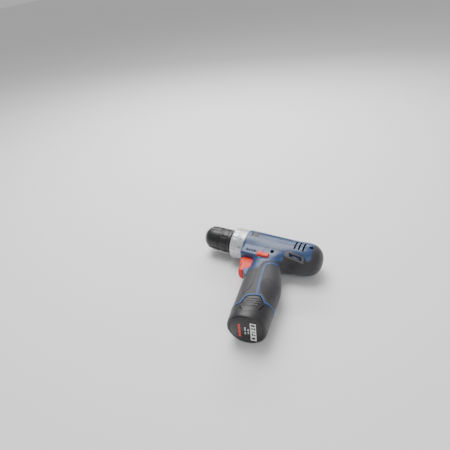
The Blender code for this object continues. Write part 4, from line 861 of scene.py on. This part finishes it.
# %% Blue lines, screw holes, then both sides
def trim_lines():
    lines = keep_side(shifted(body, "trim_lines", -LINE_RAISE), GAP / 2)
    strip = prism("strip", rim_outline(RIM_STRIP))
    combine(strip, prism("inside", rim_outline(), -FAR - 1, FAR + 1))
    combine(strip, prism("piping", stroke(rounded_run(PIPING), PIPING_WIDTH), 1.0, FAR - 1), "UNION")
    combine(lines, strip, "INTERSECT")
    return combine(lines, shifted(body, "below_lines", CORE))


def mirrored(item, name):
    twin = duplicate(item, name)
    work = opened(twin)
    bmesh.ops.scale(work, vec=(1, 1, -1), verts=work.verts)
    bmesh.ops.reverse_faces(work, faces=work.faces)
    return put_back(work, twin)


# name of the CAD screw, X, Y, and the side that its head is on
SCREWS = (("housing_screw_barrel", 73.4, -21.6, 1), ("housing_screw_rear", 126.6, 3.0, 1),
          ("housing_screw_front", 33.0, -29.2, -1), ("housing_screw_web", 84.4, -30.4, -1))
SCREW_HOLE = 3.0
lines_left = trim_lines()
shell_right = mirrored(shell_left, "shell_right")
cover_right = mirrored(cover_left, "cover_right")
for _, x, y, side in SCREWS:
    combine(shell_left if side > 0 else shell_right, rod((x, y, side * 9.0), (x, y, side * FAR), SCREW_HOLE))
finished(mirrored(lines_left, "trim_lines_right"), "housing", line_blue, "blue_abs")
finished(lines_left, "housing", line_blue, "blue_abs")
finished(shell_left, "housing", blue_abs, "blue_abs", "housing_left")
finished(shell_right, "housing", blue_abs, "blue_abs", "housing_right")
finished(cover_left, "housing", soft_rubber, "soft_rubber", "soft_cover_left")
finished(cover_right, "housing", soft_rubber, "soft_rubber", "soft_cover_right")

# %% [markdown]
# ## Turned pieces
# The torque collar, the chuck and its sleeve are all turned about the barrel's axis, so each is a
# profile spun round it. `wrap` bends a flat piece, such as a grip pad or a numeral, round the axis.
# A pad is sliced into strips first, because only an edge can bend.

# %% Spin and wrap
PAD_FOOT = -0.6                          # a pad begins this far under the surface
PAD_STRIP = 1.5
PAD_BEVEL = 0.3


def spun(name, profile, sides=96):
    work = bmesh.new()
    points = [work.verts.new((x, radius, 0)) for x, radius in profile]
    edges = [work.edges.new((a, b)) for a, b in zip(points, points[1:] + points[:1])]
    bmesh.ops.spin(work, geom=points + edges, cent=(0, 0, 0), axis=(1, 0, 0), dvec=(0, 0, 0),
                   angle=WHOLE_TURN, steps=sides, use_merge=True)
    bmesh.ops.remove_doubles(work, verts=work.verts, dist=1e-4)
    return to_object(work, name)


def wrap(work, radius, turn=0.0):
    """Bends a flat piece round the X axis: Y becomes the way round and Z the height above the radius."""
    for vertex in work.verts:
        angle = vertex.co.y / radius + turn
        height = radius + vertex.co.z
        vertex.co = Vector((vertex.co.x, height * math.cos(angle), height * math.sin(angle)))


def strips(piece, axis, low, length, count):
    """Cuts a piece across one axis into equal strips that stay joined."""
    normal = Vector([1.0 if i == axis else 0.0 for i in range(3)])
    for i in range(1, count):
        bmesh.ops.bisect_plane(piece, geom=list(piece.verts) + list(piece.edges) + list(piece.faces),
                               plane_co=normal * (low + length * i / count), plane_no=normal)


def pad(work, x_low, x_high, width, height, radius, turn, corner, fall=None):
    """One raised pad with rounded corners and edges, wrapped round the axis. `fall` lowers it along X."""
    piece = bmesh.new()
    outline = [(x_low, -width / 2), (x_high, -width / 2), (x_high, width / 2), (x_low, width / 2)]
    lift_outline(piece, rounded(outline, corner), PAD_FOOT, height)
    rim = [e for e in piece.edges if all(v.co.z > 0 for v in e.verts)]
    bmesh.ops.bevel(piece, geom=rim, offset=PAD_BEVEL, segments=2, affect="EDGES", profile=0.5, material=-1)
    strips(piece, 1, -width / 2, width, max(2, round(width / PAD_STRIP)))
    if fall:
        strips(piece, 0, x_low, x_high - x_low, 8)
        for vertex in piece.verts:
            vertex.co.z -= float(np.interp(vertex.co.x, *zip(*fall)))
    wrap(piece, radius, turn)
    bmesh.ops.recalc_face_normals(piece, faces=piece.faces)
    pour(piece, work)


# %% [markdown]
# The collar's front half carries pads for the fingers and its rear half a smooth band for the scale.

# %% Torque collar
COLLAR_RADIUS, COLLAR_LENGTH = 25.5, 23.6
COLLAR_PADS = 18
collar = spun("collar", [(0.0, 22.6), (0.4, 23.6), (1.4, 24.5), (3.0, 24.95), (11.2, 25.0), (11.8, 25.1),
                         (12.4, 25.4), (COLLAR_LENGTH - 0.7, COLLAR_RADIUS), (COLLAR_LENGTH, 24.9),
                         (COLLAR_LENGTH, 22.5), (3.0, 22.5), (3.0, 14.2), (0.0, 14.2)])
work = opened(collar)
for i in range(COLLAR_PADS):
    pad(work, x_low=1.6, x_high=10.6, width=6.4, height=0.5, radius=25.0,
        turn=WHOLE_TURN * (i + 0.5) / COLLAR_PADS, corner=1.6)
finished(put_back(work, collar), "torque_collar", silver_nylon, "silver_nylon", "torque_collar")

# %% [markdown]
# The scale is text turned into a mesh: plain odd numbers and one triangle. Each is turned to be read
# from behind the drill, set on the band and wrapped round it.

# %% Numerals round the collar
NUMERAL_SIZE, NUMERAL_HALF = 5.4, 0.06
SCALE_STEPS = 12
SCALE_AT, SCALE_LIFT = 17.2, 0.04
TRIANGLE = 1.9


def lettering(words):
    curve = bpy.data.curves.new("words", "FONT")
    curve.body = words
    curve.size = NUMERAL_SIZE
    curve.align_x = "CENTER"
    curve.align_y = "CENTER"
    curve.extrude = NUMERAL_HALF
    item = bpy.data.objects.new("words", curve)
    workshop.objects.link(item)
    view = bpy.context.evaluated_depsgraph_get()
    mesh = bpy.data.meshes.new_from_object(item.evaluated_get(view))
    bpy.data.objects.remove(item, do_unlink=True)
    return mesh


dial = bmesh.new()
for i in range(SCALE_STEPS):
    piece = bmesh.new()
    if i < SCALE_STEPS - 1:
        mesh = lettering(str(2 * i + 1))
        piece.from_mesh(mesh)
        bpy.data.meshes.remove(mesh)
    else:
        bmesh.ops.create_cone(piece, cap_ends=True, segments=3, radius1=TRIANGLE, radius2=TRIANGLE,
                              depth=2 * NUMERAL_HALF)
    bmesh.ops.remove_doubles(piece, verts=piece.verts, dist=1e-4)
    bmesh.ops.rotate(piece, verts=piece.verts, cent=(0, 0, 0), matrix=Matrix.Rotation(math.radians(90), 3, "Z"))
    bmesh.ops.translate(piece, verts=piece.verts, vec=(SCALE_AT, 0, SCALE_LIFT))
    wrap(piece, COLLAR_RADIUS, math.radians(90) + WHOLE_TURN * i / SCALE_STEPS)
    pour(piece, dial)
finished(to_object(dial, "collar_numerals"), "torque_collar", ink, "black_nylon", smooth=False)

# %% [markdown]
# ## Chuck
# A keyless chuck has a steel body and, round it, a nylon sleeve that the hand turns. The sleeve's pads
# lie in two rows, and the rear row is turned by half a pad so that fingers find an edge anywhere.

# %% Chuck sleeve
SLEEVE_PADS = 8
SLEEVE_TURN = 0.39                       # radians
sleeve = spun("sleeve", [(-48.6, 13.6), (-48.4, 14.3), (-47.9, 14.9), (-46.4, 16.1), (-44.4, 17.2),
                         (-42.0, 18.0), (-39.0, 18.5), (-35.0, 18.8), (-30.0, 18.95), (-23.4, 18.95),
                         (-23.0, 18.5), (-22.2, 18.5), (-21.8, 18.95), (-9.0, 18.95), (-8.4, 19.4),
                         (-4.2, 19.5), (-3.2, 18.6), (-3.0, 17.3), (-38.7, 17.3), (-45.9, 14.3),
                         (-45.9, 12.9), (-48.6, 12.9)])
# the front pads sink with the taper: X, how far down
SLEEVE_FALL = ((-44.0, 1.35), (-42.0, 0.85), (-40.0, 0.5), (-37.0, 0.2), (-33.0, 0.0), (0.0, 0.0))
work = opened(sleeve)
for i in range(SLEEVE_PADS):
    for row, x_low, x_high, fall in ((0.25, -43.4, -24.6, SLEEVE_FALL), (0.75, -20.6, -9.8, None)):
        pad(work, x_low, x_high, width=12.4, height=0.62, radius=18.9,
            turn=WHOLE_TURN * (i + row) / SLEEVE_PADS + SLEEVE_TURN, corner=2.4, fall=fall)
finished(put_back(work, sleeve), "chuck_sleeve", black_nylon, "black_nylon", "chuck_sleeve")


# %% [markdown]
# Some CAD solids have the right shape and only need soft edges and smooth shading. `cad_copy` copies
# one and merges its loose triangles, `bevelled` rounds its sharp edges, and `refined` lets the copy
# stand for the node.

# %% Refined copies of CAD solids
def cad_copy(node, name):
    """A merged copy of a CAD solid in the drill's own directions and millimetres."""
    work = opened(frame["nodes"][node])
    bmesh.ops.remove_doubles(work, verts=work.verts, dist=2e-6)
    bmesh.ops.dissolve_limit(work, angle_limit=math.radians(0.5), verts=work.verts, edges=work.edges)
    bmesh.ops.translate(work, verts=work.verts, vec=-PLACE)
    bmesh.ops.scale(work, verts=work.verts, vec=(1 / MM, 1 / MM, 1 / MM))
    return to_object(work, name)


def bevelled(item, width, segments=2, above=40.0):
    work = opened(item)
    sharp = [edge for edge in work.edges if len(edge.link_faces) == 2
             and edge.calc_face_angle(0) > math.radians(above)]
    bmesh.ops.bevel(work, geom=sharp, offset=width, segments=segments, affect="EDGES", profile=0.5,
                    material=-1, clamp_overlap=True)
    return put_back(work, item)


def refined(node, rides_on, finish, slot, edge=0.0):
    item = cad_copy(node, node + "_fine")
    return finished(bevelled(item, edge) if edge else item, rides_on, finish, slot, node)


refined("chuck_body", "output", steel, "steel")
for number in (1, 2, 3):
    refined(f"jaw_{number}", f"jaw_{number}", steel, "steel", 0.2)
for name, *_ in SCREWS:
    refined(name, "housing", steel, "steel", 0.15)
refined("badge", "housing", deep_black, "black_nylon", 0.3)
refined("gearbox_case", "housing", white_nylon, "white_nylon", 0.2)

# %% [markdown]
# ## Trigger and direction switch
# A trigger's face is hollowed for the finger and curves back at its sides. Level rings from its top
# to its lower lip are bridged. The rings shrink towards both ends, which rounds the edges there
# without a bevel.

# %% Trigger
# how far below the axis, where the front is
TRIGGER_ROWS = ((35.3, 30.4), (37.6, 28.6), (40.0, 28.0), (43.6, 28.4), (48.2, 30.6), (52.4, 33.0),
                (56.6, 33.8), (60.6, 34.0), (62.6, 34.6), (64.0, 36.0))
# how far below the axis, where the rear is
TRIGGER_REAR = ((35.3, 54.0), (58.0, 54.0), (58.7, 48.6), (64.0, 43.6))
TRIGGER_TOP, TRIGGER_FOOT = 35.3, 64.3
TRIGGER_STEP = 58.0                      # the lip begins here
TRIGGER_HALF_WIDTH = 9.5
TRIGGER_CORNER = 0.8
TRIGGER_CURVE, TRIGGER_SQUARENESS = 6.0, 2.8
FRONT_SIDES = 28
ROUND_END = ((0.9, 0.0), (0.5, 0.12), (0.2, 0.35), (0.05, 0.6), (0.0, 0.9))      # shrink, distance from the end


def trigger_ring(below, shrink=0.0):
    front = smooth_row(TRIGGER_ROWS, below)[0] + shrink
    rear = float(np.interp(below, *zip(*TRIGGER_REAR))) - shrink
    half_width = TRIGGER_HALF_WIDTH - shrink
    ring = []
    for side in (-1, 1):
        turns = [math.pi / 2 * i / 4 for i in range(5)]
        bend = [Vector((rear - TRIGGER_CORNER * (1 - math.cos(a)), -below,
                        side * (half_width - TRIGGER_CORNER * (1 - math.sin(a))))) for a in turns]
        ring += bend[::-1] if side < 0 else bend
    for i in range(1, FRONT_SIDES):
        angle = math.pi * (0.5 - i / FRONT_SIDES)
        out = abs(math.cos(angle)) ** (2 / TRIGGER_SQUARENESS)
        side = math.copysign(abs(math.sin(angle)) ** (2 / TRIGGER_SQUARENESS), math.sin(angle))
        ring.append(Vector((front + TRIGGER_CURVE * (1 - out), -below, half_width * side)))
    return ring


levels = [(TRIGGER_TOP + away, shrink) for shrink, away in ROUND_END]
levels += [(36.2 + (TRIGGER_STEP - 36.2) * i / 18, 0.0) for i in range(1, 19)]
levels += [(level, 0.0) for level in (58.35, 58.7, 60.0, 61.4, 62.6)]
levels += [(TRIGGER_FOOT - away, shrink) for shrink, away in ROUND_END[::-1]]
trigger = stacked("trigger_fine", [trigger_ring(level, shrink) for level, shrink in levels])
finished(trigger, "trigger", red_abs, "red_abs", "trigger")

# %% [markdown]
# The direction switch goes right through the housing. It is the CAD solid with a round hollow for the
# thumb cut into each end, and three ridges in the hollow that keep the thumb from slipping.

# %% Direction switch
LEVER_TOP = 22.4
HOLLOW_RADIUS, HOLLOW_DEPTH = 9.0, 0.9
RIDGES = (-2.2, 0.0, 2.2)
RIDGE_HALF = (0.45, LEVER_SIZE[1] / 2 - 1.5, 0.4)
lever = cad_copy("direction_lever", "direction_lever_fine")
for side in (1, -1):
    height = side * (LEVER_TOP + HOLLOW_RADIUS - HOLLOW_DEPTH)
    combine(lever, rod((LEVER[0], LEVER[1] - 9, height), (LEVER[0], LEVER[1] + 9, height), HOLLOW_RADIUS, 64))
    for offset in RIDGES:
        middle = (LEVER[0] + offset, LEVER[1], side * (LEVER_TOP - HOLLOW_DEPTH + 0.05))
        ridge = box([m - h for m, h in zip(middle, RIDGE_HALF)], [m + h for m, h in zip(middle, RIDGE_HALF)])
        combine(lever, bevelled(ridge, 0.3), "UNION")
finished(bevelled(lever, 0.22, above=50.0), "direction_lever", red_abs, "red_abs", "direction_lever")

# %% [markdown]
# ## Battery pack
# The pack's skirt continues the grip, so it is built from the same sections as a closed stack. Rings
# lie close together at the foot, where the edge is round. The tower that goes up the grip is two rings.

# %% Battery stacks
ROUND_SIDES = 112
ROUND_FOOT = (0.0, 0.15, 0.4, 0.8, 1.4, 2.2, 3.2, 4.4)
CAP_MIDDLE, CAP_SLOPE, CAP_FOOT = 11.0, 0.24, -12.0
TOWER = (1.5, 19.6, 18.3, 3.6)           # middle, half depth, half width, squareness
TOWER_TOP = 80.0


def on_section(up, middle, half_depth, half_width, squareness, i):
    angle = WHOLE_TURN * (i + 0.5) / ROUND_SIDES
    u = math.copysign(abs(math.cos(angle)) ** (2 / squareness), math.cos(angle))
    v = math.copysign(abs(math.sin(angle)) ** (2 / squareness), math.sin(angle))
    return GRIP_BASE + GRIP_ACROSS * (middle + half_depth * u) + GRIP_UP * up + Vector((0, 0, half_width * v))


def grip_stack(name, low, high, inset=0.0):
    count = max(2, round((high - max(low, 4.4)) / 2.5))
    begin = max(low, 6.0)
    ups = [up for up in ROUND_FOOT if low <= up < high]
    ups += [begin + (high - begin) * i / count for i in range(count + 1)]
    rings = []
    for up in ups:
        front, rear, half_width, squareness = smooth_row(GRIP_ROWS, up)
        half_depth = (front + rear) / 2 - inset
        rings.append([on_section(up, (rear - front) / 2, half_depth, half_width - inset, squareness, i)
                      for i in range(ROUND_SIDES)])
    return stacked(name, rings)


def tower_stack(name, inset, low, high):
    middle, half_depth, half_width, squareness = TOWER
    return stacked(name, [[on_section(up, middle, half_depth - inset, half_width - inset, squareness, i)
                           for i in range(ROUND_SIDES)] for up in (low, high)])


def cap_outline(lift=0.0):
    return outline_offset(on_grip([(RIM_LEFT, CAP_MIDDLE + CAP_SLOPE * RIM_LEFT),
                                   (RIM_RIGHT, CAP_MIDDLE + CAP_SLOPE * RIM_RIGHT),
                                   (RIM_RIGHT, CAP_FOOT), (RIM_LEFT, CAP_FOOT)]), lift)


def grip_at(across, up):
    return GRIP_BASE + GRIP_ACROSS * across + GRIP_UP * up


# %% [markdown]
# The case is cut off along the rim and the cap's parting line, gets its tower, and is then emptied:
# a thin wall is what a moulded case has. The windows for the buttons leave the tower whole.

# %% Battery case, cap and end plate
CASE_HIGH = 60.0                         # the stacks end well above the rim
CASE_WALL, CEILING_WALL, TOWER_WALL = 2.4, 2.7, 0.8
SLOTS = (((-11.9, 17.6), (-7.0, 11.4)), ((17.4, 28.0), (13.6, 17.2)))
SLOT_WIDTH, SLOT_DEPTH = 1.5, 1.4
END_HOLE, END_RADIUS, END_THICKNESS = 22.8, 22.5, 0.8

case = grip_stack("battery_case_fine", 0.0, CASE_HIGH)
combine(case, prism("below_rim", rim_outline(-GAP)), "INTERSECT")
combine(case, prism("cap", cap_outline(GAP)))
combine(case, tower_stack("tower", 0.0, 16.0, TOWER_TOP), "UNION")
inside = grip_stack("inside", 0.0, CASE_HIGH, CASE_WALL)
combine(case, combine(inside, prism("ceiling", rim_outline(-CEILING_WALL)), "INTERSECT"))
combine(case, tower_stack("tower_inside", TOWER_WALL, 2.0, TOWER_TOP - 2.0))
window = prism("window", outline_offset(on_grip(BUTTON), GAP))
combine(case, combine(window, tower_stack("keep", -0.6, -20.0, TOWER_TOP + 20.0)))
for slot in SLOTS:
    groove = prism("slot", stroke(on_grip(slot), SLOT_WIDTH))
    combine(case, combine(groove, grip_stack("slot_floor", 0.0, CASE_HIGH, SLOT_DEPTH)))
finished(case, "battery", deep_black, "black_nylon", "battery_case")

cap = grip_stack("battery_cap_fine", 0.0, 36.0)
combine(cap, prism("below", cap_outline()), "INTERSECT")
combine(cap, grip_stack("inside", 3.0, 40.0, CASE_WALL))
combine(cap, rod(grip_at(0, -5), grip_at(0, 1.1), END_HOLE, ROUND_SIDES))
finished(cap, "battery", deep_black, "black_nylon", "battery_cap")

plate = bevelled(rod(grip_at(0, 0), grip_at(0, END_THICKNESS), END_RADIUS, ROUND_SIDES), 0.15)
plate.name = "battery_end_plate_fine"
finished(plate, "battery", gloss_label, "gloss_black", "battery_end_plate")

# %% [markdown]
# A release button is a thin piece of the same skirt, a little sunk. Five slanting ribs rise from it
# to the skirt's own surface.

# %% Release buttons with ribs
BUTTON_RECESS, BUTTON_THICKNESS, BUTTON_LOW = 0.5, 1.7, 5.0
RIB_WIDTH, RIB_END, RIB_FOOT, RIB_SINK = 2.0, 0.9, 0.6, 0.02
# each rib goes from a place across and up the grip to another
RIBS = ((-6.3, 17.6, 9.4, 20.4), (-6.8, 21.0, 11.8, 24.4), (-6.8, 25.0, 12.8, 28.6), (-6.6, 29.2, 12.2, 32.6),
        (-6.2, 33.2, 10.6, 36.4))
for side, label in ((1, "left"), (-1, "right")):
    button = grip_stack(f"release_button_{label}_fine", 4.0, CASE_HIGH, BUTTON_RECESS)
    combine(button, grip_stack("behind", 0.0, 64.0, BUTTON_RECESS + BUTTON_THICKNESS))
    ribs = grip_stack("ribs", 4.0, CASE_HIGH, RIB_SINK)
    bars = None
    for a, b, c, d in RIBS:
        bar = prism("bar", rounded(stroke(on_grip([(a, b), (c, d)]), RIB_WIDTH), RIB_END))
        bars = bar if bars is None else combine(bars, bar, "UNION")
    combine(ribs, bars, "INTERSECT")
    combine(ribs, grip_stack("behind", 0.0, 64.0, BUTTON_RECESS + RIB_FOOT))
    combine(button, ribs, "UNION")
    low, high = (BUTTON_LOW, FAR) if side > 0 else (-FAR, -BUTTON_LOW)
    combine(button, prism("outline", on_grip(BUTTON), low, high), "INTERSECT")
    finished(bevelled(button, 0.22, above=55.0), f"release_button_{label}", deep_black, "black_nylon",
             f"release_button_{label}")

# %% [markdown]
# ## Small details
# The end label carries blocks of colour in place of print. Thin plates stand 0.05 mm out of the label,
# which is about what thick printing ink does; the dark blocks lie on a light one, so they stand higher.

# %% End label print
def printed(name, blocks, paint, slot, height=0.05):
    """Flat blocks on the battery's end: each is across, out, width, height in millimetres."""
    work = bmesh.new()
    turn = Matrix((GRIP_ACROSS, Vector((0, 0, 1)), -GRIP_UP)).transposed().to_4x4()
    for across, out, wide, high in blocks:
        place = Matrix.Translation(grip_at(across, 0) + Vector((0, 0, out)))
        size = Matrix.Diagonal((wide, high, 2 * height, 1.0))
        bmesh.ops.create_cube(work, size=1.0, matrix=place @ turn @ size)
    return finished(to_object(work, name), "battery", paint, slot, smooth=False)


printed("label_red_blocks", [(-9.0, -12.0 + 4.3 * i, 3.2, 3.4) for i in range(6)], red_ink, "red_abs")
light_blocks = [(9.6, -0.6, 7.8, 34.0)]
light_blocks += [(-1.2, out, 1.9, 1.5) for out in (5.6, 3.2, 0.8, -4.0, -6.4)]
light_blocks += [(3.0, out, 1.9, 1.2) for out in (3.2, 1.2, -2.0, -5.0)]
printed("label_light_blocks", light_blocks, white_ink, "gloss_black")
dark_blocks = [(9.6, 12.6, 5.2, 3.4), (8.2, 6.4, 2.6, 2.8), (11.4, 6.4, 2.0, 4.0), (9.8, 0.0, 4.4, 1.6),
               (8.4, -5.4, 2.0, 4.2), (11.2, -6.0, 2.4, 2.6), (9.6, -13.0, 4.6, 3.8)]
printed("label_dark_blocks", dark_blocks, ink, "gloss_black", 0.09)

# %% [markdown]
# The moulded frame round the rear slot and the marks beside the direction switch are pieces of the
# same skin, kept inside an outline and lifted or sunk a little.

# %% Slot frame, marks
FRAME = ((92.0, -16.9), (96.0, -13.5), (121.0, -16.0), (122.4, -21.6), (93.0, -22.4))
FRAME_RAISE = 0.35
MARKS = (((31.6, -27.8), (36.8, -25.2), (36.8, -30.4)),
         ((38.4, -25.6), (40.4, -25.6), (40.4, -30.0), (38.4, -30.0)),
         ((42.2, -25.6), (44.2, -25.6), (44.2, -30.0), (42.2, -30.0)),
         ((51.0, -27.8), (45.8, -25.2), (45.8, -30.4)))
MARK_RAISE, MARK_DEPTH = 0.06, 0.3


def on_skin(name, outline, lift, depth, side):
    """A piece of the skin inside an outline, from `lift` above it to `depth` below."""
    low, high = (BAND_LOW, FAR) if side > 0 else (-FAR, -BAND_LOW)
    piece = prism(name, outline, low, high)
    combine(piece, shifted(body, "above", -lift), "INTERSECT")
    return combine(piece, shifted(body, "below", depth))


for side, label in ((1, "left"), (-1, "right")):
    edge = on_skin(f"slot_frame_{label}", rounded(FRAME, 1.6), FRAME_RAISE, CORE, side)
    combine(edge, prism("hole", rounded(outline_offset(REAR_SLOT, GAP), 1.2)))
    finished(edge, "housing", pale_rubber, "soft_rubber")
    for number, mark in enumerate(MARKS):
        finished(on_skin(f"direction_mark_{label}_{number}", mark, MARK_RAISE, MARK_DEPTH, side), "housing",
                 ink, "black_nylon")

# %% [markdown]
# Everything inside the drill keeps its CAD shape. Each solid says in the record which material it is
# made of, so a table from that word to a finish is enough.

# %% Finishes for the CAD solids that stay
INNER_FINISHES = {
    "steel": steel, "sintered_steel": dark_steel, "brass": brass, "copper": copper, "ferrite": ferrite,
    "white_nylon": white_nylon, "black_nylon": black_nylon, "cell_wrap": cell_wrap,
    "circuit_board": board_green, "blue_abs": blue_abs, "soft_rubber": soft_rubber, "red_abs": red_abs,
    "silver_nylon": silver_nylon, "gloss_black": gloss_label}
for part in frame["record"]["subparts"]:
    node = frame["nodes"][part["node"]]
    node.data.materials.clear()
    node.data.materials.append(INNER_FINISHES[part["material_slot"]])

# %% [markdown]
# ## Floor, light and camera
# The drill lies on a plain pale floor. One large soft light stands over it and slightly behind, as in
# product photography, a narrow one draws a highlight along the barrel, and the sky fills the shadows.

# %% Studio
floor_mesh = bmesh.new()
bmesh.ops.create_grid(floor_mesh, x_segments=1, y_segments=1, size=4.0)
floor = to_object(floor_mesh, "floor")
# Matt white board, a touch off white so that the light's fall shows on it.
floor_paint, *_ = start("pale_floor", "#e9e9ea", 0.7)
floor.data.materials.append(floor_paint)

world = bpy.data.worlds.new("sky")
world.use_nodes = True
world.node_tree.nodes["Background"].inputs["Color"].default_value = (1.0, 1.0, 1.0, 1.0)
world.node_tree.nodes["Background"].inputs["Strength"].default_value = 0.5
bpy.context.scene.world = world


def soft_light(name, place, size, power):
    lamp = bpy.data.lights.new(name, "AREA")
    lamp.shape = "RECTANGLE"
    lamp.size, lamp.size_y = size
    lamp.energy = power
    item = bpy.data.objects.new(name, lamp)
    item.location = place
    item.rotation_euler = (-Vector(place)).to_track_quat("-Z", "Y").to_euler()
    bpy.context.scene.collection.objects.link(item)


soft_light("key", (-0.35, 0.35, 1.1), (0.7, 0.7), 17.0)
soft_light("fill", (0.8, -0.7, 0.7), (0.9, 0.9), 4.0)
soft_light("strip", (-0.35, 0.85, 0.62), (1.1, 0.12), 7.0)
print("lights:", len(bpy.data.lights))

# %% [markdown]
# The camera looks down at the drill from below its grip. Its three directions are worked out from
# turn, tilt and roll and become the columns of its matrix; the lens follows from the focal length.

# %% Camera
AZIMUTH, PITCH, ROLL = math.radians(30.73), math.radians(36.83), math.radians(-6.33)
CAMERA_AT = Vector((243.7, -437.8, 413.6))
SENSOR_MM, LENS_MM = 36.0, 31.28
back = Vector((math.sin(AZIMUTH) * math.cos(PITCH), -math.cos(AZIMUTH) * math.cos(PITCH), math.sin(PITCH)))
right = Vector((math.cos(AZIMUTH), math.sin(AZIMUTH), 0.0))
up = back.cross(right)
right, up = (right * math.cos(ROLL) + up * math.sin(ROLL), up * math.cos(ROLL) - right * math.sin(ROLL))
lens = bpy.data.cameras.new("camera")
lens.sensor_width = SENSOR_MM
lens.lens = LENS_MM
lens.clip_start = 0.01
camera = bpy.data.objects.new("camera", lens)
turned = Matrix((right, up, back)).transposed().to_4x4()
camera.matrix_world = Matrix.Translation(PLACE + CAMERA_AT * MM) @ turned
bpy.context.scene.collection.objects.link(camera)
bpy.context.scene.camera = camera
print("camera", round(CAMERA_AT.length), "mm from the collar")

# %% [markdown]
# ## Clean up
# Tools that only served as cutters are removed.

# %% Finish
bpy.data.objects.remove(body, do_unlink=True)
